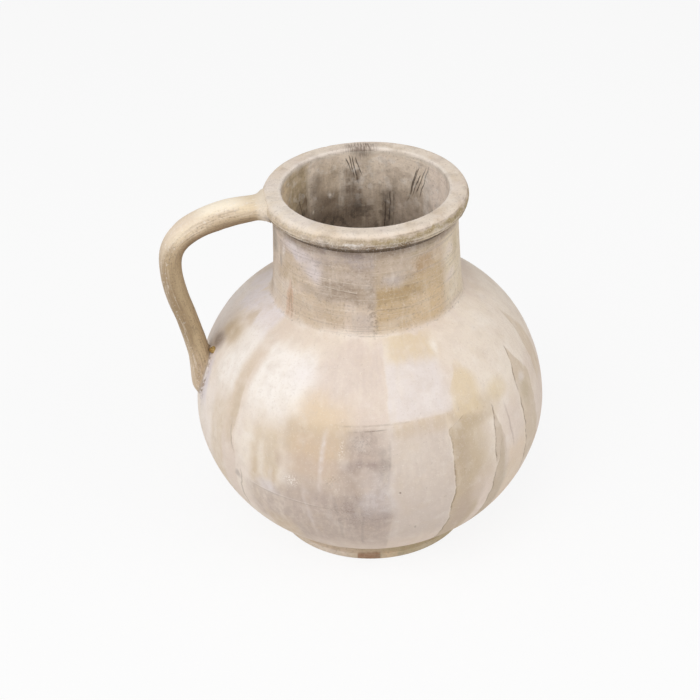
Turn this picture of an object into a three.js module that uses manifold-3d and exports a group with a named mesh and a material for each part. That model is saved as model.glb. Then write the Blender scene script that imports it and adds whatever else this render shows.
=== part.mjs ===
// Clay vase with one handle: a turned pad foot, a round body thrown in two bowls and luted
// together, a collar neck, a rolled rim, and a pulled strap handle from the rim to the girth.
// Millimetres, +Z up. The origin is the centre of the foot's flat underside.
// The handle lies towards -X, in the plane Y = 0.

import * as THREE from 'three';
import { mergeVertices } from 'three/addons/utils/BufferGeometryUtils.js';
import Module from 'manifold-3d';

const wasm = await Module();
wasm.setup();

// Heights of the pieces that stand on each other
const footHeight = 10;
const girthAboveFoot = 99.5;
const seamAboveGirth = 53.5;
const shoulderRise = 100.5;
const neckFilletHeight = 14;
const neckLength = 69.5;
const rimHeight = 18.5;

// Outside radii, and how far the pieces beside them stand out or in
const footRadius = 80.5;
const footStep = 3.5;
const girthRadius = 140;
const neckRadius = 71.4;
const neckFootFlare = 2.2;
const neckBaseFlare = 7.1;
const neckTopInset = 0.2;
const rimOverhang = 7.6;
const rimLipInset = 1.7;
const mouthInset = 0.6;

// Clay thicknesses
const wall = 8;
const floorThickness = 9;

// Body curves: the angle of each end above the level, and the reach of its tangent
const bowlStartDegrees = 29.6;
const bowlStartReach = 53.7;
const bowlGirthReach = 28.4;
const shoulderGirthReach = 12;
const shoulderEndDegrees = 24.5;
const shoulderEndReach = 64.5;

// Foot edge
const footEdgeRound = 1.6;
const footCoveHeight = 4.5;

// Rim roll
const rimCoveDepth = 5.3;
const rimBulgeDrop = 7;
const rimLipDrop = 2.2;
const rimEdgeRound = 3.2;
const rimMouthRound = 3;

// Inside of the neck where it opens into the body
const throatRound = 14;

// Handle centre line
const handleRootDrop = 10;
const handleRootDegrees = 14.7;
const handleRootReach = 11.8;
const handleStandOff = 10.8;
const handleBendDrop = 52.6;
const handleBendReachUp = 41.3;
const handleBendReachDown = 31.8;
const handleTailAboveGirth = 16.5;
const handleTailSink = 7.8;
const handleTailDegrees = 86.3;
const handleTailReach = 66.5;

// Handle section: thickness in the handle's plane, width across it
const rootThickness = 17.5;
const armThickness = 21.2;
const armThickestAt = 26;
const rootWidth = 25;
const gripThickness = 18.4;
const gripWidth = 24;
const tailThickness = 18.6;
const tailWidth = 23;
const tailBlendLength = 45;
const sectionSquareness = 2.4;

// Joints at the two ends of the handle
const rootLength = 15;
const rootFlare = 1;
const rootFlareLength = 6;
const tailStartAboveCrotch = 9;
const tailFlare = 2.2;
const tailRound = 13;
const joinGap = 0.3;

// Dab of slip squeezed out where the handle meets the belly
const dabRadius = 2.6;
const dabAboveCrotch = 3.3;
const dabInFromEdge = 5;

// Facets
const turnedFacets = 64;
const bowlSteps = 9;
const girthSteps = 4;
const shoulderSteps = 8;
const coveSteps = 4;
const edgeSteps = 3;
const handleSides = 24;
const handleSteps = 26;
const endSteps = 9;
const dabSides = 12;
const dabRows = 8;

// Heights above the table
const floorHeight = footHeight + floorThickness;
const girthHeight = footHeight + girthAboveFoot;
const seamHeight = girthHeight + seamAboveGirth;
const neckBaseHeight = girthHeight + shoulderRise;
const neckStraightHeight = neckBaseHeight + neckFilletHeight;
const rimBaseHeight = neckBaseHeight + neckLength;
const vaseHeight = rimBaseHeight + rimHeight;

// Radii that follow the foot's and the neck's
const waistRadius = footRadius - footStep;
const neckInnerRadius = neckRadius - wall;
const neckBaseRadius = neckRadius + neckBaseFlare;
const neckFootRadius = neckRadius + neckFootFlare;
const neckTopRadius = neckRadius - neckTopInset;
const rimRadius = neckTopRadius + rimOverhang;
const rimLipRadius = rimRadius - rimLipInset;
const mouthRadius = neckInnerRadius - mouthInset;

function radians(degrees) {
  return THREE.MathUtils.degToRad(degrees);
}

function point(radius, height) {
  return new THREE.Vector2(radius, height);
}

function slopeStep(from, degrees, reach) {
  const angle = radians(degrees);
  return point(from.x + reach * Math.cos(angle), from.y + reach * Math.sin(angle));
}

// The outside of the body: a bowl up to the girth, then the shoulder up to the neck.
const waistPoint = point(waistRadius, footHeight);
const girthPoint = point(girthRadius, girthHeight);
const neckBasePoint = point(neckBaseRadius, neckBaseHeight);
const bowlCurve = new THREE.CubicBezierCurve(
  waistPoint,
  slopeStep(waistPoint, bowlStartDegrees, bowlStartReach),
  slopeStep(girthPoint, -90, bowlGirthReach),
  girthPoint,
);
const shoulderCurve = new THREE.CubicBezierCurve(
  girthPoint,
  slopeStep(girthPoint, 90, shoulderGirthReach),
  slopeStep(neckBasePoint, -shoulderEndDegrees, shoulderEndReach),
  neckBasePoint,
);

// A point on the inside of a body wall: the outside point moved in by the wall.
function insidePoint(curve, part) {
  const outside = curve.getPointAt(part);
  const along = curve.getTangentAt(part);
  return point(outside.x - wall * along.y, outside.y + wall * along.x);
}

// The parameter at which a rising line reaches a height.
function parameterAt(pointAt, height) {
  let low = 0;
  let high = 1;
  for (let i = 0; i < 50; i += 1) {
    const middle = (low + high) / 2;
    if (pointAt(middle).y < height) {
      low = middle;
    } else {
      high = middle;
    }
  }
  return (low + high) / 2;
}

function samples(pointAt, from, to, steps) {
  const list = [];
  for (let i = 0; i <= steps; i += 1) {
    list.push(pointAt(from + ((to - from) * i) / steps));
  }
  return list;
}

// The mesh of a solid: shared vertices merged, triangles of no area dropped, faces out.
function closedGeometry(source) {
  const bare = source.index ? source.clone() : mergeVertices(source);
  bare.deleteAttribute('normal');
  bare.deleteAttribute('uv');
  const merged = mergeVertices(bare, 1e-4);
  const index = merged.index.array;
  const kept = [];
  for (let i = 0; i < index.length; i += 3) {
    const [a, b, c] = [index[i], index[i + 1], index[i + 2]];
    if (a !== b && b !== c && c !== a) {
      kept.push(a, b, c);
    }
  }
  merged.setIndex(kept);
  if (signedVolume(merged) < 0) {
    for (let i = 0; i < kept.length; i += 3) {
      [kept[i], kept[i + 1]] = [kept[i + 1], kept[i]];
    }
    merged.setIndex(kept);
  }
  return merged;
}

function signedVolume(geometry) {
  const index = geometry.index.array;
  const position = geometry.attributes.position;
  const corners = [new THREE.Vector3(), new THREE.Vector3(), new THREE.Vector3()];
  let sum = 0;
  for (let i = 0; i < index.length; i += 3) {
    corners.forEach((corner, k) => corner.fromBufferAttribute(position, index[i + k]));
    sum += corners[0].dot(corners[1].clone().cross(corners[2])) / 6;
  }
  return sum;
}

// A turned piece: its half section, listed once round, spun about the Z axis.
function turned(section) {
  const geometry = new THREE.LatheGeometry(section, turnedFacets);
  geometry.rotateX(Math.PI / 2);
  return closedGeometry(geometry);
}

function toManifold(geometry) {
  const vertProperties = new Float32Array(geometry.attributes.position.array);
  const triVerts = new Uint32Array(geometry.index.array);
  return new wasm.Manifold(new wasm.Mesh({ numProp: 3, vertProperties, triVerts }));
}

function fromManifold(solid) {
  const mesh = solid.getMesh();
  const geometry = new THREE.BufferGeometry();
  geometry.setAttribute('position', new THREE.BufferAttribute(mesh.vertProperties, 3));
  geometry.setIndex(new THREE.BufferAttribute(mesh.triVerts, 1));
  return geometry;
}

// Foot: a solid pad, flat below, with a rounded edge and a small cove up to the bowl.
function footOutside() {
  const edge = new THREE.QuadraticBezierCurve(
    point(footRadius - footEdgeRound, 0),
    point(footRadius, 0),
    point(footRadius, footEdgeRound),
  );
  const cove = new THREE.QuadraticBezierCurve(
    point(footRadius, footHeight - footCoveHeight),
    point(waistRadius, footHeight - footCoveHeight / 2),
    waistPoint,
  );
  return [...edge.getPoints(edgeSteps), ...cove.getPoints(edgeSteps)];
}

function footSection() {
  return [point(0, 0), ...footOutside(), point(0, footHeight)];
}

// Lower bowl: floor and wall thrown in one, up to the luted seam above the girth.
const shoulderOutsideAt = (part) => shoulderCurve.getPointAt(part);
const shoulderInsideAt = (part) => insidePoint(shoulderCurve, part);
const bowlInsideAt = (part) => insidePoint(bowlCurve, part);
const seamOutside = parameterAt(shoulderOutsideAt, seamHeight);
const seamInside = parameterAt(shoulderInsideAt, seamHeight);
const floorEdge = parameterAt(bowlInsideAt, floorHeight);

function bowlOutside() {
  return [
    ...bowlCurve.getSpacedPoints(bowlSteps),
    ...samples(shoulderOutsideAt, 0, seamOutside, girthSteps).slice(1),
  ];
}

function bowlSection() {
  return [
    point(0, footHeight),
    ...bowlOutside(),
    ...samples(shoulderInsideAt, seamInside, 0, girthSteps),
    ...samples(bowlInsideAt, 1, floorEdge, bowlSteps).slice(1),
    point(0, floorHeight),
  ];
}

// The throat: the rounded edge inside, shared by the shoulder below and the neck above.
const throatLow = shoulderInsideAt(1);
const throatRise = (throatLow.x - neckInnerRadius) * Math.tan(radians(shoulderEndDegrees));
const throatCorner = point(neckInnerRadius, throatLow.y + throatRise);
const throatHigh = point(neckInnerRadius, throatCorner.y + throatRound);
const throatCurve = new THREE.QuadraticBezierCurve(throatLow, throatCorner, throatHigh);
const throatAt = (part) => throatCurve.getPoint(part);
const throatSeam = parameterAt(throatAt, neckBaseHeight);

// Shoulder: the upper bowl, closing in from the seam to the neck.
function shoulderOutside() {
  return samples(shoulderOutsideAt, seamOutside, 1, shoulderSteps);
}

function shoulderSection() {
  const section = [
    ...shoulderOutside(),
    ...samples(throatAt, throatSeam, 0, edgeSteps),
    ...samples(shoulderInsideAt, 1, seamInside, shoulderSteps).slice(1),
  ];
  return [...section, section[0]];
}

// Neck: a collar with a filleted foot, very slightly waisted.
const neckFootPoint = point(neckFootRadius, neckStraightHeight);
const neckTopPoint = point(neckTopRadius, rimBaseHeight);

function neckOutside() {
  const fillet = new THREE.QuadraticBezierCurve(
    neckBasePoint,
    point(neckFootRadius, neckBaseHeight + (neckBaseRadius - neckFootRadius) / 2),
    neckFootPoint,
  );
  const side = new THREE.QuadraticBezierCurve(
    neckFootPoint,
    point(neckRadius, (neckStraightHeight + rimBaseHeight) / 2),
    neckTopPoint,
  );
  return [...fillet.getPoints(coveSteps), ...side.getPoints(coveSteps).slice(1)];
}

function neckSection() {
  const section = [
    ...neckOutside(),
    point(neckInnerRadius, rimBaseHeight),
    ...samples(throatAt, 1, throatSeam, coveSteps),
  ];
  return [...section, section[0]];
}

// Rim: a cove under a rounded band, a nearly flat lip and a rounded mouth.
function rimOutside() {
  const coveTop = point(rimLipRadius, rimBaseHeight + rimCoveDepth);
  const lipEdge = point(rimLipRadius, vaseHeight - rimLipDrop);
  const lipInset = rimLipRadius - rimLipDrop / 2;
  const cove = new THREE.QuadraticBezierCurve(
    neckTopPoint,
    point(neckTopRadius, rimBaseHeight + rimCoveDepth),
    coveTop,
  );
  const band = new THREE.QuadraticBezierCurve(
    coveTop,
    point(2 * rimRadius - rimLipRadius, vaseHeight - rimBulgeDrop),
    lipEdge,
  );
  const edge = new THREE.QuadraticBezierCurve(
    lipEdge,
    point(lipInset, vaseHeight),
    point(lipInset - rimEdgeRound, vaseHeight),
  );
  return [
    ...cove.getPoints(coveSteps),
    ...band.getPoints(coveSteps).slice(1),
    ...edge.getPoints(edgeSteps).slice(1),
  ];
}

function rimSection() {
  const mouth = new THREE.QuadraticBezierCurve(
    point(mouthRadius + rimMouthRound, vaseHeight),
    point(mouthRadius, vaseHeight),
    point(mouthRadius, vaseHeight - rimMouthRound),
  );
  const section = [
    ...rimOutside(),
    ...mouth.getPoints(edgeSteps),
    point(neckInnerRadius, rimBaseHeight),
  ];
  return [...section, section[0]];
}

// The whole outside as one solid, a little larger all round, to trim what joins it.
function envelope(gap) {
  const outline = [
    point(0, 0),
    ...footOutside(),
    ...bowlOutside().slice(1),
    ...shoulderOutside().slice(1),
    ...neckOutside().slice(1),
    ...rimOutside().slice(1),
  ];
  const spread = outline.map((here, i) => {
    const before = outline[Math.max(i - 1, 0)];
    const after = outline[Math.min(i + 1, outline.length - 1)];
    const along = after.clone().sub(before).normalize();
    return point(Math.max(here.x + gap * along.y, 0), here.y - gap * along.x);
  });
  return toManifold(turned([...spread, point(0, vaseHeight + gap)]));
}

// Radius of the body's outside at a height above the girth.
function shoulderRadiusAt(height) {
  return shoulderOutsideAt(parameterAt(shoulderOutsideAt, height)).x;
}

// Handle centre line: out of the rim, over the bend, down to the belly and into it.
const rootPoint = point(rimRadius, vaseHeight - handleRootDrop);
const bendPoint = point(girthRadius + handleStandOff, vaseHeight - handleBendDrop);
const tailHeight = girthHeight + handleTailAboveGirth;
const tailPoint = point(shoulderRadiusAt(tailHeight) - handleTailSink, tailHeight);
const armCurve = new THREE.CubicBezierCurve(
  rootPoint,
  slopeStep(rootPoint, -handleRootDegrees, handleRootReach),
  slopeStep(bendPoint, 90, handleBendReachUp),
  bendPoint,
);
const dropCurve = new THREE.CubicBezierCurve(
  bendPoint,
  slopeStep(bendPoint, -90, handleBendReachDown),
  slopeStep(tailPoint, handleTailDegrees, handleTailReach),
  tailPoint,
);
const centreLine = new THREE.CurvePath();
centreLine.add(new THREE.LineCurve(slopeStep(rootPoint, 180, wall), rootPoint));
centreLine.add(armCurve);
centreLine.add(dropCurve);
const handleLength = centreLine.getLength();
const bendFraction = (wall + armCurve.getLength()) / handleLength;

// Half thickness and half width of the strap at a fraction of the centre line: it swells
// just beyond the rim, thins over the bend to the grip, and ends in the tail.
function strapSize(fraction) {
  const { smoothstep, lerp } = THREE.MathUtils;
  const armPeak = (wall + armThickestAt) / handleLength;
  const intoArm = smoothstep(fraction, wall / handleLength, armPeak);
  const intoGrip = smoothstep(fraction, armPeak, bendFraction);
  const intoTail = smoothstep(fraction, 1 - tailBlendLength / handleLength, 1);
  const armThick = lerp(lerp(rootThickness, armThickness, intoArm), gripThickness, intoGrip);
  const armWide = lerp(rootWidth, gripWidth, intoGrip);
  return {
    thick: lerp(armThick, tailThickness, intoTail) / 2,
    wide: lerp(armWide, tailWidth, intoTail) / 2,
  };
}

// One closed loop of the strap's section, a rounded oblong square to the centre line.
function strapRing(fraction, grow, shrink) {
  const centre = centreLine.getPointAt(fraction);
  const along = centreLine.getTangentAt(fraction);
  const size = strapSize(fraction);
  const thick = (size.thick + grow) * shrink;
  const wide = (size.wide + grow) * shrink;
  const ring = [];
  for (let i = 0; i < handleSides; i += 1) {
    const turn = (2 * Math.PI * i) / handleSides;
    const power = 2 / sectionSquareness;
    const out = thick * Math.sign(Math.cos(turn)) * Math.abs(Math.cos(turn)) ** power;
    const side = wide * Math.sign(Math.sin(turn)) * Math.abs(Math.sin(turn)) ** power;
    ring.push(new THREE.Vector3(-(centre.x - out * along.y), side, centre.y + out * along.x));
  }
  return ring;
}

// A solid through a row of rings, closed at both ends.
function loft(rings) {
  const sides = rings[0].length;
  const vertices = rings.flat();
  const faces = [];
  for (let i = 0; i + 1 < rings.length; i += 1) {
    for (let k = 0; k < sides; k += 1) {
      const next = (k + 1) % sides;
      const [a, b] = [i * sides + k, i * sides + next];
      faces.push(a, b, b + sides, a, b + sides, a + sides);
    }
  }
  [0, rings.length - 1].forEach((row, end) => {
    const middle = vertices.length;
    const centre = new THREE.Vector3();
    rings[row].forEach((corner) => centre.addScaledVector(corner, 1 / sides));
    vertices.push(centre);
    for (let k = 0; k < sides; k += 1) {
      const [a, b] = [row * sides + k, row * sides + ((k + 1) % sides)];
      faces.push(...(end === 0 ? [middle, b, a] : [middle, a, b]));
    }
  });
  const geometry = new THREE.BufferGeometry();
  const numbers = vertices.flatMap((corner) => corner.toArray());
  geometry.setAttribute('position', new THREE.Float32BufferAttribute(numbers, 3));
  geometry.setIndex(faces);
  return closedGeometry(geometry);
}

// Where the strap's inner face first touches the belly, as a fraction of the centre line.
function crotchFraction() {
  let fraction = 1;
  while (fraction > bendFraction) {
    const centre = centreLine.getPointAt(fraction);
    const inner = centre.x - strapSize(fraction).thick;
    if (inner > shoulderRadiusAt(centre.y)) {
      return fraction;
    }
    fraction -= 0.002;
  }
  return fraction;
}

const rootEnd = (wall + rootLength) / handleLength;
const crotch = crotchFraction();
const tailStart = crotch - tailStartAboveCrotch / handleLength;
const body = envelope(joinGap);

// Handle root: the stub luted onto the rim, flaring out where it meets it.
function handleRoot() {
  const rings = [];
  for (let i = 0; i <= endSteps; i += 1) {
    const fraction = (rootEnd * i) / endSteps;
    const beyondRim = fraction * handleLength - wall;
    const near = Math.max(0, 1 - Math.max(beyondRim, 0) / rootFlareLength);
    rings.push(strapRing(fraction, rootFlare * near * near, 1));
  }
  return fromManifold(toManifold(loft(rings)).subtract(body));
}

// Handle: the pulled strap between its two joints.
function handleStrap() {
  const rings = samples((t) => strapRing(t, 0, 1), rootEnd, tailStart, handleSteps);
  return loft(rings);
}

// Handle tail: the strap's end pressed onto the belly, rounded off at its tip.
function tailRings(grow) {
  const rings = [];
  const roundStart = 1 - tailRound / handleLength;
  for (let i = 0; i < endSteps; i += 1) {
    const fraction = THREE.MathUtils.lerp(tailStart, roundStart, i / endSteps);
    rings.push(strapRing(fraction, grow + (tailFlare * i) / endSteps, 1));
  }
  const tipSteps = 2 * edgeSteps;
  for (let i = 0; i < tipSteps; i += 1) {
    const turn = (Math.PI / 2) * (i / tipSteps);
    const fraction = THREE.MathUtils.lerp(roundStart, 1, Math.sin(turn));
    rings.push(strapRing(fraction, grow + tailFlare, Math.cos(turn)));
  }
  return rings;
}

function handleTail() {
  return fromManifold(toManifold(loft(tailRings(0))).subtract(body));
}

// Dab of slip in the crook of the handle, on the side that the handle leaves open.
function slipDab() {
  const ball = new THREE.SphereGeometry(dabRadius, dabSides, dabRows);
  const height = centreLine.getPointAt(crotch).y + dabAboveCrotch;
  const side = strapSize(crotch).wide - dabInFromEdge;
  ball.translate(-shoulderRadiusAt(height), -side, height);
  const tail = toManifold(loft(tailRings(joinGap)));
  return fromManifold(toManifold(closedGeometry(ball)).subtract(body).subtract(tail));
}

const bodyClay = { color: 0xd9cab8, roughness: 0.9, metalness: 0 };
const rimClay = { color: 0xccbda4, roughness: 0.9, metalness: 0 };
const handleClay = { color: 0xb8a587, roughness: 0.92, metalness: 0 };
const footClay = { color: 0xb3a68b, roughness: 0.92, metalness: 0 };
const dabClay = { color: 0xa98a55, roughness: 0.85, metalness: 0 };

function piece(name, geometry, clay) {
  geometry.computeVertexNormals();
  const mesh = new THREE.Mesh(geometry, new THREE.MeshStandardMaterial(clay));
  mesh.name = name;
  return mesh;
}

const vase = new THREE.Group();
vase.add(piece('foot', turned(footSection()), footClay));
vase.add(piece('lower_bowl', turned(bowlSection()), bodyClay));
vase.add(piece('shoulder', turned(shoulderSection()), bodyClay));
vase.add(piece('neck', turned(neckSection()), bodyClay));
vase.add(piece('rim', turned(rimSection()), rimClay));
vase.add(piece('handle_root', handleRoot(), handleClay));
vase.add(piece('handle', handleStrap(), handleClay));
vase.add(piece('handle_tail', handleTail(), handleClay));
vase.add(piece('slip_dab', slipDab(), dabClay));

export default vase;
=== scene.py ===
# Looks of the clay vase: finer meshes for every piece, layered washes of paint, and a plain studio.
# Sizes are in millimetres until a mesh is made, and angles on the vase are in degrees round its
# axis: 0 at the handle, 90 at the side that faces the camera, 180 opposite the handle.
import math

import bpy
import numpy as np
from mathutils import Matrix, Vector


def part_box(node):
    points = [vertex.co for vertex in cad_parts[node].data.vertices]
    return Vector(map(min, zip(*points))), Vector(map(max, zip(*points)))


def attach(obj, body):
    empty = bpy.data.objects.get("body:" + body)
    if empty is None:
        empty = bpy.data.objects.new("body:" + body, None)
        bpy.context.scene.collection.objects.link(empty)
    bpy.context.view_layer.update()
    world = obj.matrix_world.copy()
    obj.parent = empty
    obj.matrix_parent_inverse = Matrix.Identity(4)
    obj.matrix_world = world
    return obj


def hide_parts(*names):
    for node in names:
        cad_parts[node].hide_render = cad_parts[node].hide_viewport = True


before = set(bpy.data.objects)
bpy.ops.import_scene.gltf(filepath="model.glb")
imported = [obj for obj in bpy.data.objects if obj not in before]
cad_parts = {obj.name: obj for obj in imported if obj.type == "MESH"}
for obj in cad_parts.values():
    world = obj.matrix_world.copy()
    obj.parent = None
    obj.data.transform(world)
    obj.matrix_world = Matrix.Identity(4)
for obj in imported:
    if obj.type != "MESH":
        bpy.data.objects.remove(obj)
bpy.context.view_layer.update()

MM = 0.001


def top_of(node):
    """The height of the top of a piece of the solid model."""
    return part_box(node)[1].z / MM


def reach_of(node):
    """How far a piece of the solid model reaches from the axis."""
    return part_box(node)[1].x / MM


# Heights and radii that the frame gives
FOOT_TOP = top_of("foot")
SEAM = top_of("lower_bowl")
NECK_BASE = top_of("shoulder")
RIM_BASE = top_of("neck")
LIP = top_of("rim")
FOOT_RADIUS = reach_of("foot")
GIRTH_RADIUS = reach_of("lower_bowl")
NECK_BASE_RADIUS = reach_of("neck")
RIM_RADIUS = reach_of("rim")

# Outline of the turned body. A start or end of a curve has a direction and a pull.
GIRTH = FOOT_TOP + 99.5
WAIST_RADIUS = FOOT_RADIUS - 3.5
NECK_RADIUS = NECK_BASE_RADIUS - 7.1
NECK_FOOT_RADIUS = NECK_RADIUS + 2.2
NECK_TOP_RADIUS = NECK_RADIUS - 0.2
NECK_FILLET_TOP = NECK_BASE + 14
WALL = 8
FLOOR = FOOT_TOP + 9
NECK_INSIDE = NECK_RADIUS - WALL
MOUTH_RADIUS = NECK_INSIDE - 0.6
RIM_LIP_RADIUS = RIM_RADIUS - 1.7
BOWL_START = (29.6, 53.7)
BOWL_GIRTH_REACH = 28.4
SHOULDER_GIRTH_REACH = 12
SHOULDER_END = (24.5, 64.5)
FOOT_EDGE = 1.6
FOOT_COVE = 4.5
RIM_COVE = 5.3
RIM_BULGE_DROP = 7
RIM_LIP_DROP = 2.2
RIM_EDGE = 3.2
MOUTH_EDGE = 3
THROAT_ROUND = 14

# Fineness of the meshes
AROUND = 640
OUTSIDE_STEP = 1.5
INSIDE_STEP = 3.5
NECK_STEP = 1
NECK_INSIDE_STEP = 2
EDGE_STEP = 0.5
DISC_STEP = 8


def polar(start, degrees, reach):
    """The point at that distance from another, in that direction."""
    angle = math.radians(degrees)
    return (start[0] + reach * math.cos(angle), start[1] + reach * math.sin(angle))


def bezier(points, parts=400):
    """A dense row of points along a Bezier curve of any degree."""
    share = np.linspace(0, 1, parts + 1)[:, None]
    rows = [np.repeat(point[None], parts + 1, 0) for point in np.array(points, float)]
    while len(rows) > 1:
        rows = [a + (b - a) * share for a, b in zip(rows, rows[1:])]
    return rows[0]


def line(a, b):
    """A straight row of two points."""
    return np.array([a, b], float)


def run_length(curve):
    """The length along a row of points, at each of them."""
    return np.r_[0, np.cumsum(np.hypot(*np.diff(curve, axis=0).T))]


def points_at(wanted, length, curve):
    """The curve's points at the wanted lengths along it."""
    return np.c_[np.interp(wanted, length, curve[:, 0]), np.interp(wanted, length, curve[:, 1])]


def spaced(curve, step):
    """The curve again, with even steps of about that length."""
    length = run_length(curve)
    count = max(2, int(round(length[-1] / step)))
    return points_at(np.linspace(0, length[-1], count + 1), length, curve)


def radius_at(height, curve):
    """The radius of a rising curve at a height."""
    return np.interp(height, curve[:, 1], curve[:, 0])


def split_at_height(curve, height):
    """The two parts of a rising curve, below and above a height, sharing the point there."""
    below = curve[curve[:, 1] < height]
    above = curve[curve[:, 1] > height]
    cut = np.array([[radius_at(height, curve), height]])
    return np.vstack([below, cut]), np.vstack([cut, above])


def unit(vectors):
    """Plane vectors brought to a length of one."""
    return vectors / np.hypot(vectors[:, 0], vectors[:, 1])[:, None]


def outward(curve):
    """The unit normal at each point of a curve, on the side away from the clay."""
    along = unit(np.gradient(curve, axis=0))
    return np.c_[along[:, 1], -along[:, 0]]


def moved_in(curve):
    """The inside of a body wall: the outside moved in by the wall along its normal."""
    return curve - WALL * outward(curve)


WAIST = (WAIST_RADIUS, FOOT_TOP)
GIRTH_POINT = (GIRTH_RADIUS, GIRTH)
NECK_BASE_POINT = (NECK_BASE_RADIUS, NECK_BASE)
NECK_FOOT = (NECK_FOOT_RADIUS, NECK_FILLET_TOP)
NECK_TOP = (NECK_TOP_RADIUS, RIM_BASE)

bowl_curve = bezier([
    WAIST,
    polar(WAIST, *BOWL_START),
    polar(GIRTH_POINT, -90, BOWL_GIRTH_REACH),
    GIRTH_POINT,
])
upper = bezier([
    GIRTH_POINT,
    polar(GIRTH_POINT, 90, SHOULDER_GIRTH_REACH),
    polar(NECK_BASE_POINT, -SHOULDER_END[0], SHOULDER_END[1]),
    NECK_BASE_POINT,
])


def inner_wall():
    """The inside from the floor's edge up to the neck, and the round corner into the neck."""
    bowl = moved_in(bowl_curve)
    inside = np.vstack([bowl, moved_in(upper)[1:]])
    inside = np.vstack([[radius_at(FLOOR, bowl), FLOOR], inside[inside[:, 1] >= FLOOR]])
    start = inside[-1]
    slope = math.tan(math.radians(SHOULDER_END[0]))
    corner = (NECK_INSIDE, start[1] + (start[0] - NECK_INSIDE) * slope)
    return inside, bezier([start, corner, (NECK_INSIDE, corner[1] + THROAT_ROUND)])


def outline():
    """The vase's closed half section as named stretches, from the middle of the foot's underside
    up the outside, over the lip and down the inside to the middle of the floor. Each stretch is a
    row of curves, each with the step of the mesh along it."""
    upper_low, upper_high = split_at_height(upper, SEAM)
    inside, throat = inner_wall()
    inside_low, inside_high = split_at_height(inside, SEAM)
    throat_below, throat_above = split_at_height(throat, NECK_BASE)
    foot_edge = [(FOOT_RADIUS - FOOT_EDGE, 0), (FOOT_RADIUS, 0), (FOOT_RADIUS, FOOT_EDGE)]
    foot_cove = [
        (FOOT_RADIUS, FOOT_TOP - FOOT_COVE),
        (WAIST_RADIUS, FOOT_TOP - FOOT_COVE / 2),
        WAIST,
    ]
    fillet_corner = (NECK_FOOT_RADIUS, NECK_BASE + (NECK_BASE_RADIUS - NECK_FOOT_RADIUS) / 2)
    neck_middle = (NECK_RADIUS, (NECK_FILLET_TOP + RIM_BASE) / 2)
    cove_corner = (NECK_TOP_RADIUS, RIM_BASE + RIM_COVE)
    cove_top = (RIM_LIP_RADIUS, RIM_BASE + RIM_COVE)
    bulge = (2 * RIM_RADIUS - RIM_LIP_RADIUS, LIP - RIM_BULGE_DROP)
    lip_edge = (RIM_LIP_RADIUS, LIP - RIM_LIP_DROP)
    lip_inset = RIM_LIP_RADIUS - RIM_LIP_DROP / 2
    lip_outer = (lip_inset - RIM_EDGE, LIP)
    lip_inner = (MOUTH_RADIUS + MOUTH_EDGE, LIP)
    mouth = (MOUTH_RADIUS, LIP - MOUTH_EDGE)
    return {
        "foot": [
            (line((0, 0), foot_edge[0]), DISC_STEP),
            (bezier(foot_edge), EDGE_STEP),
            (line(foot_edge[-1], foot_cove[0]), EDGE_STEP),
            (bezier(foot_cove), EDGE_STEP),
        ],
        "lower_bowl": [(bowl_curve, OUTSIDE_STEP), (upper_low, OUTSIDE_STEP)],
        "shoulder": [(upper_high, OUTSIDE_STEP)],
        "neck": [
            (bezier([NECK_BASE_POINT, fillet_corner, NECK_FOOT]), NECK_STEP),
            (bezier([NECK_FOOT, neck_middle, NECK_TOP]), NECK_STEP),
        ],
        "rim": [
            (bezier([NECK_TOP, cove_corner, cove_top]), EDGE_STEP),
            (bezier([cove_top, bulge, lip_edge]), EDGE_STEP),
            (bezier([lip_edge, (lip_inset, LIP), lip_outer]), EDGE_STEP),
            (line(lip_outer, lip_inner), EDGE_STEP),
            (bezier([lip_inner, (MOUTH_RADIUS, LIP), mouth]), EDGE_STEP),
            (line(mouth, (NECK_INSIDE, RIM_BASE)), NECK_INSIDE_STEP),
        ],
        "neck_inside": [
            (line((NECK_INSIDE, RIM_BASE), throat_above[-1]), NECK_INSIDE_STEP),
            (throat_above[::-1], NECK_INSIDE_STEP),
        ],
        "shoulder_inside": [
            (throat_below[::-1], NECK_INSIDE_STEP),
            (inside_high[::-1], INSIDE_STEP),
        ],
        "bowl_inside": [
            (inside_low[::-1], INSIDE_STEP),
            (line(inside_low[0], (0, FLOOR)), DISC_STEP),
        ],
    }


# Smooth random fields. Each is seeded, so every run gives the same surface.
NOISE_ROWS = 64


def blend_weight(share):
    """A share from 0 to 1 that starts and ends softly."""
    return share * share * (3 - 2 * share)


def soft_noise(seed, turn, rise, cells_round, cell_rise):
    """Noise from -1 to 1 over the turn (0 to 1, closed round the axis) and the rise."""
    grid = np.random.default_rng(seed).uniform(-1, 1, (NOISE_ROWS, cells_round))
    across = (turn % 1) * cells_round
    up = rise / cell_rise + NOISE_ROWS
    left = np.floor(across).astype(int)
    low = np.floor(up).astype(int)
    fx = blend_weight(across - left)
    fy = blend_weight(up - low)
    x0, x1 = left % cells_round, (left + 1) % cells_round
    y0, y1 = low % NOISE_ROWS, (low + 1) % NOISE_ROWS
    lower = grid[y0, x0] * (1 - fx) + grid[y0, x1] * fx
    higher = grid[y1, x0] * (1 - fx) + grid[y1, x1] * fx
    return lower * (1 - fy) + higher * fy


def unevenness(waves, turn, rise):
    """Waves laid over one another, none above the smooth surface. A wave has a depth, a seed, its
    cells round the axis and the length of a cell along it."""
    return sum(depth * (soft_noise(seed, turn, rise, *cells) - 1) for depth, seed, *cells in waves)


def smooth_step(low, high, value):
    """0 below low, 1 above high and smooth between."""
    return blend_weight(np.clip((value - low) / (high - low), 0, 1))


def band(value, low, high, soft):
    """1 between low and high, with soft ends."""
    return smooth_step(low - soft, low + soft, value) * (1 - smooth_step(high - soft, high + soft, value))


def degrees_apart(turn, degrees):
    """How far a turn from 0 to 1 lies past an angle, from -180 to 180."""
    return (turn * 360 - degrees + 180) % 360 - 180


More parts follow.
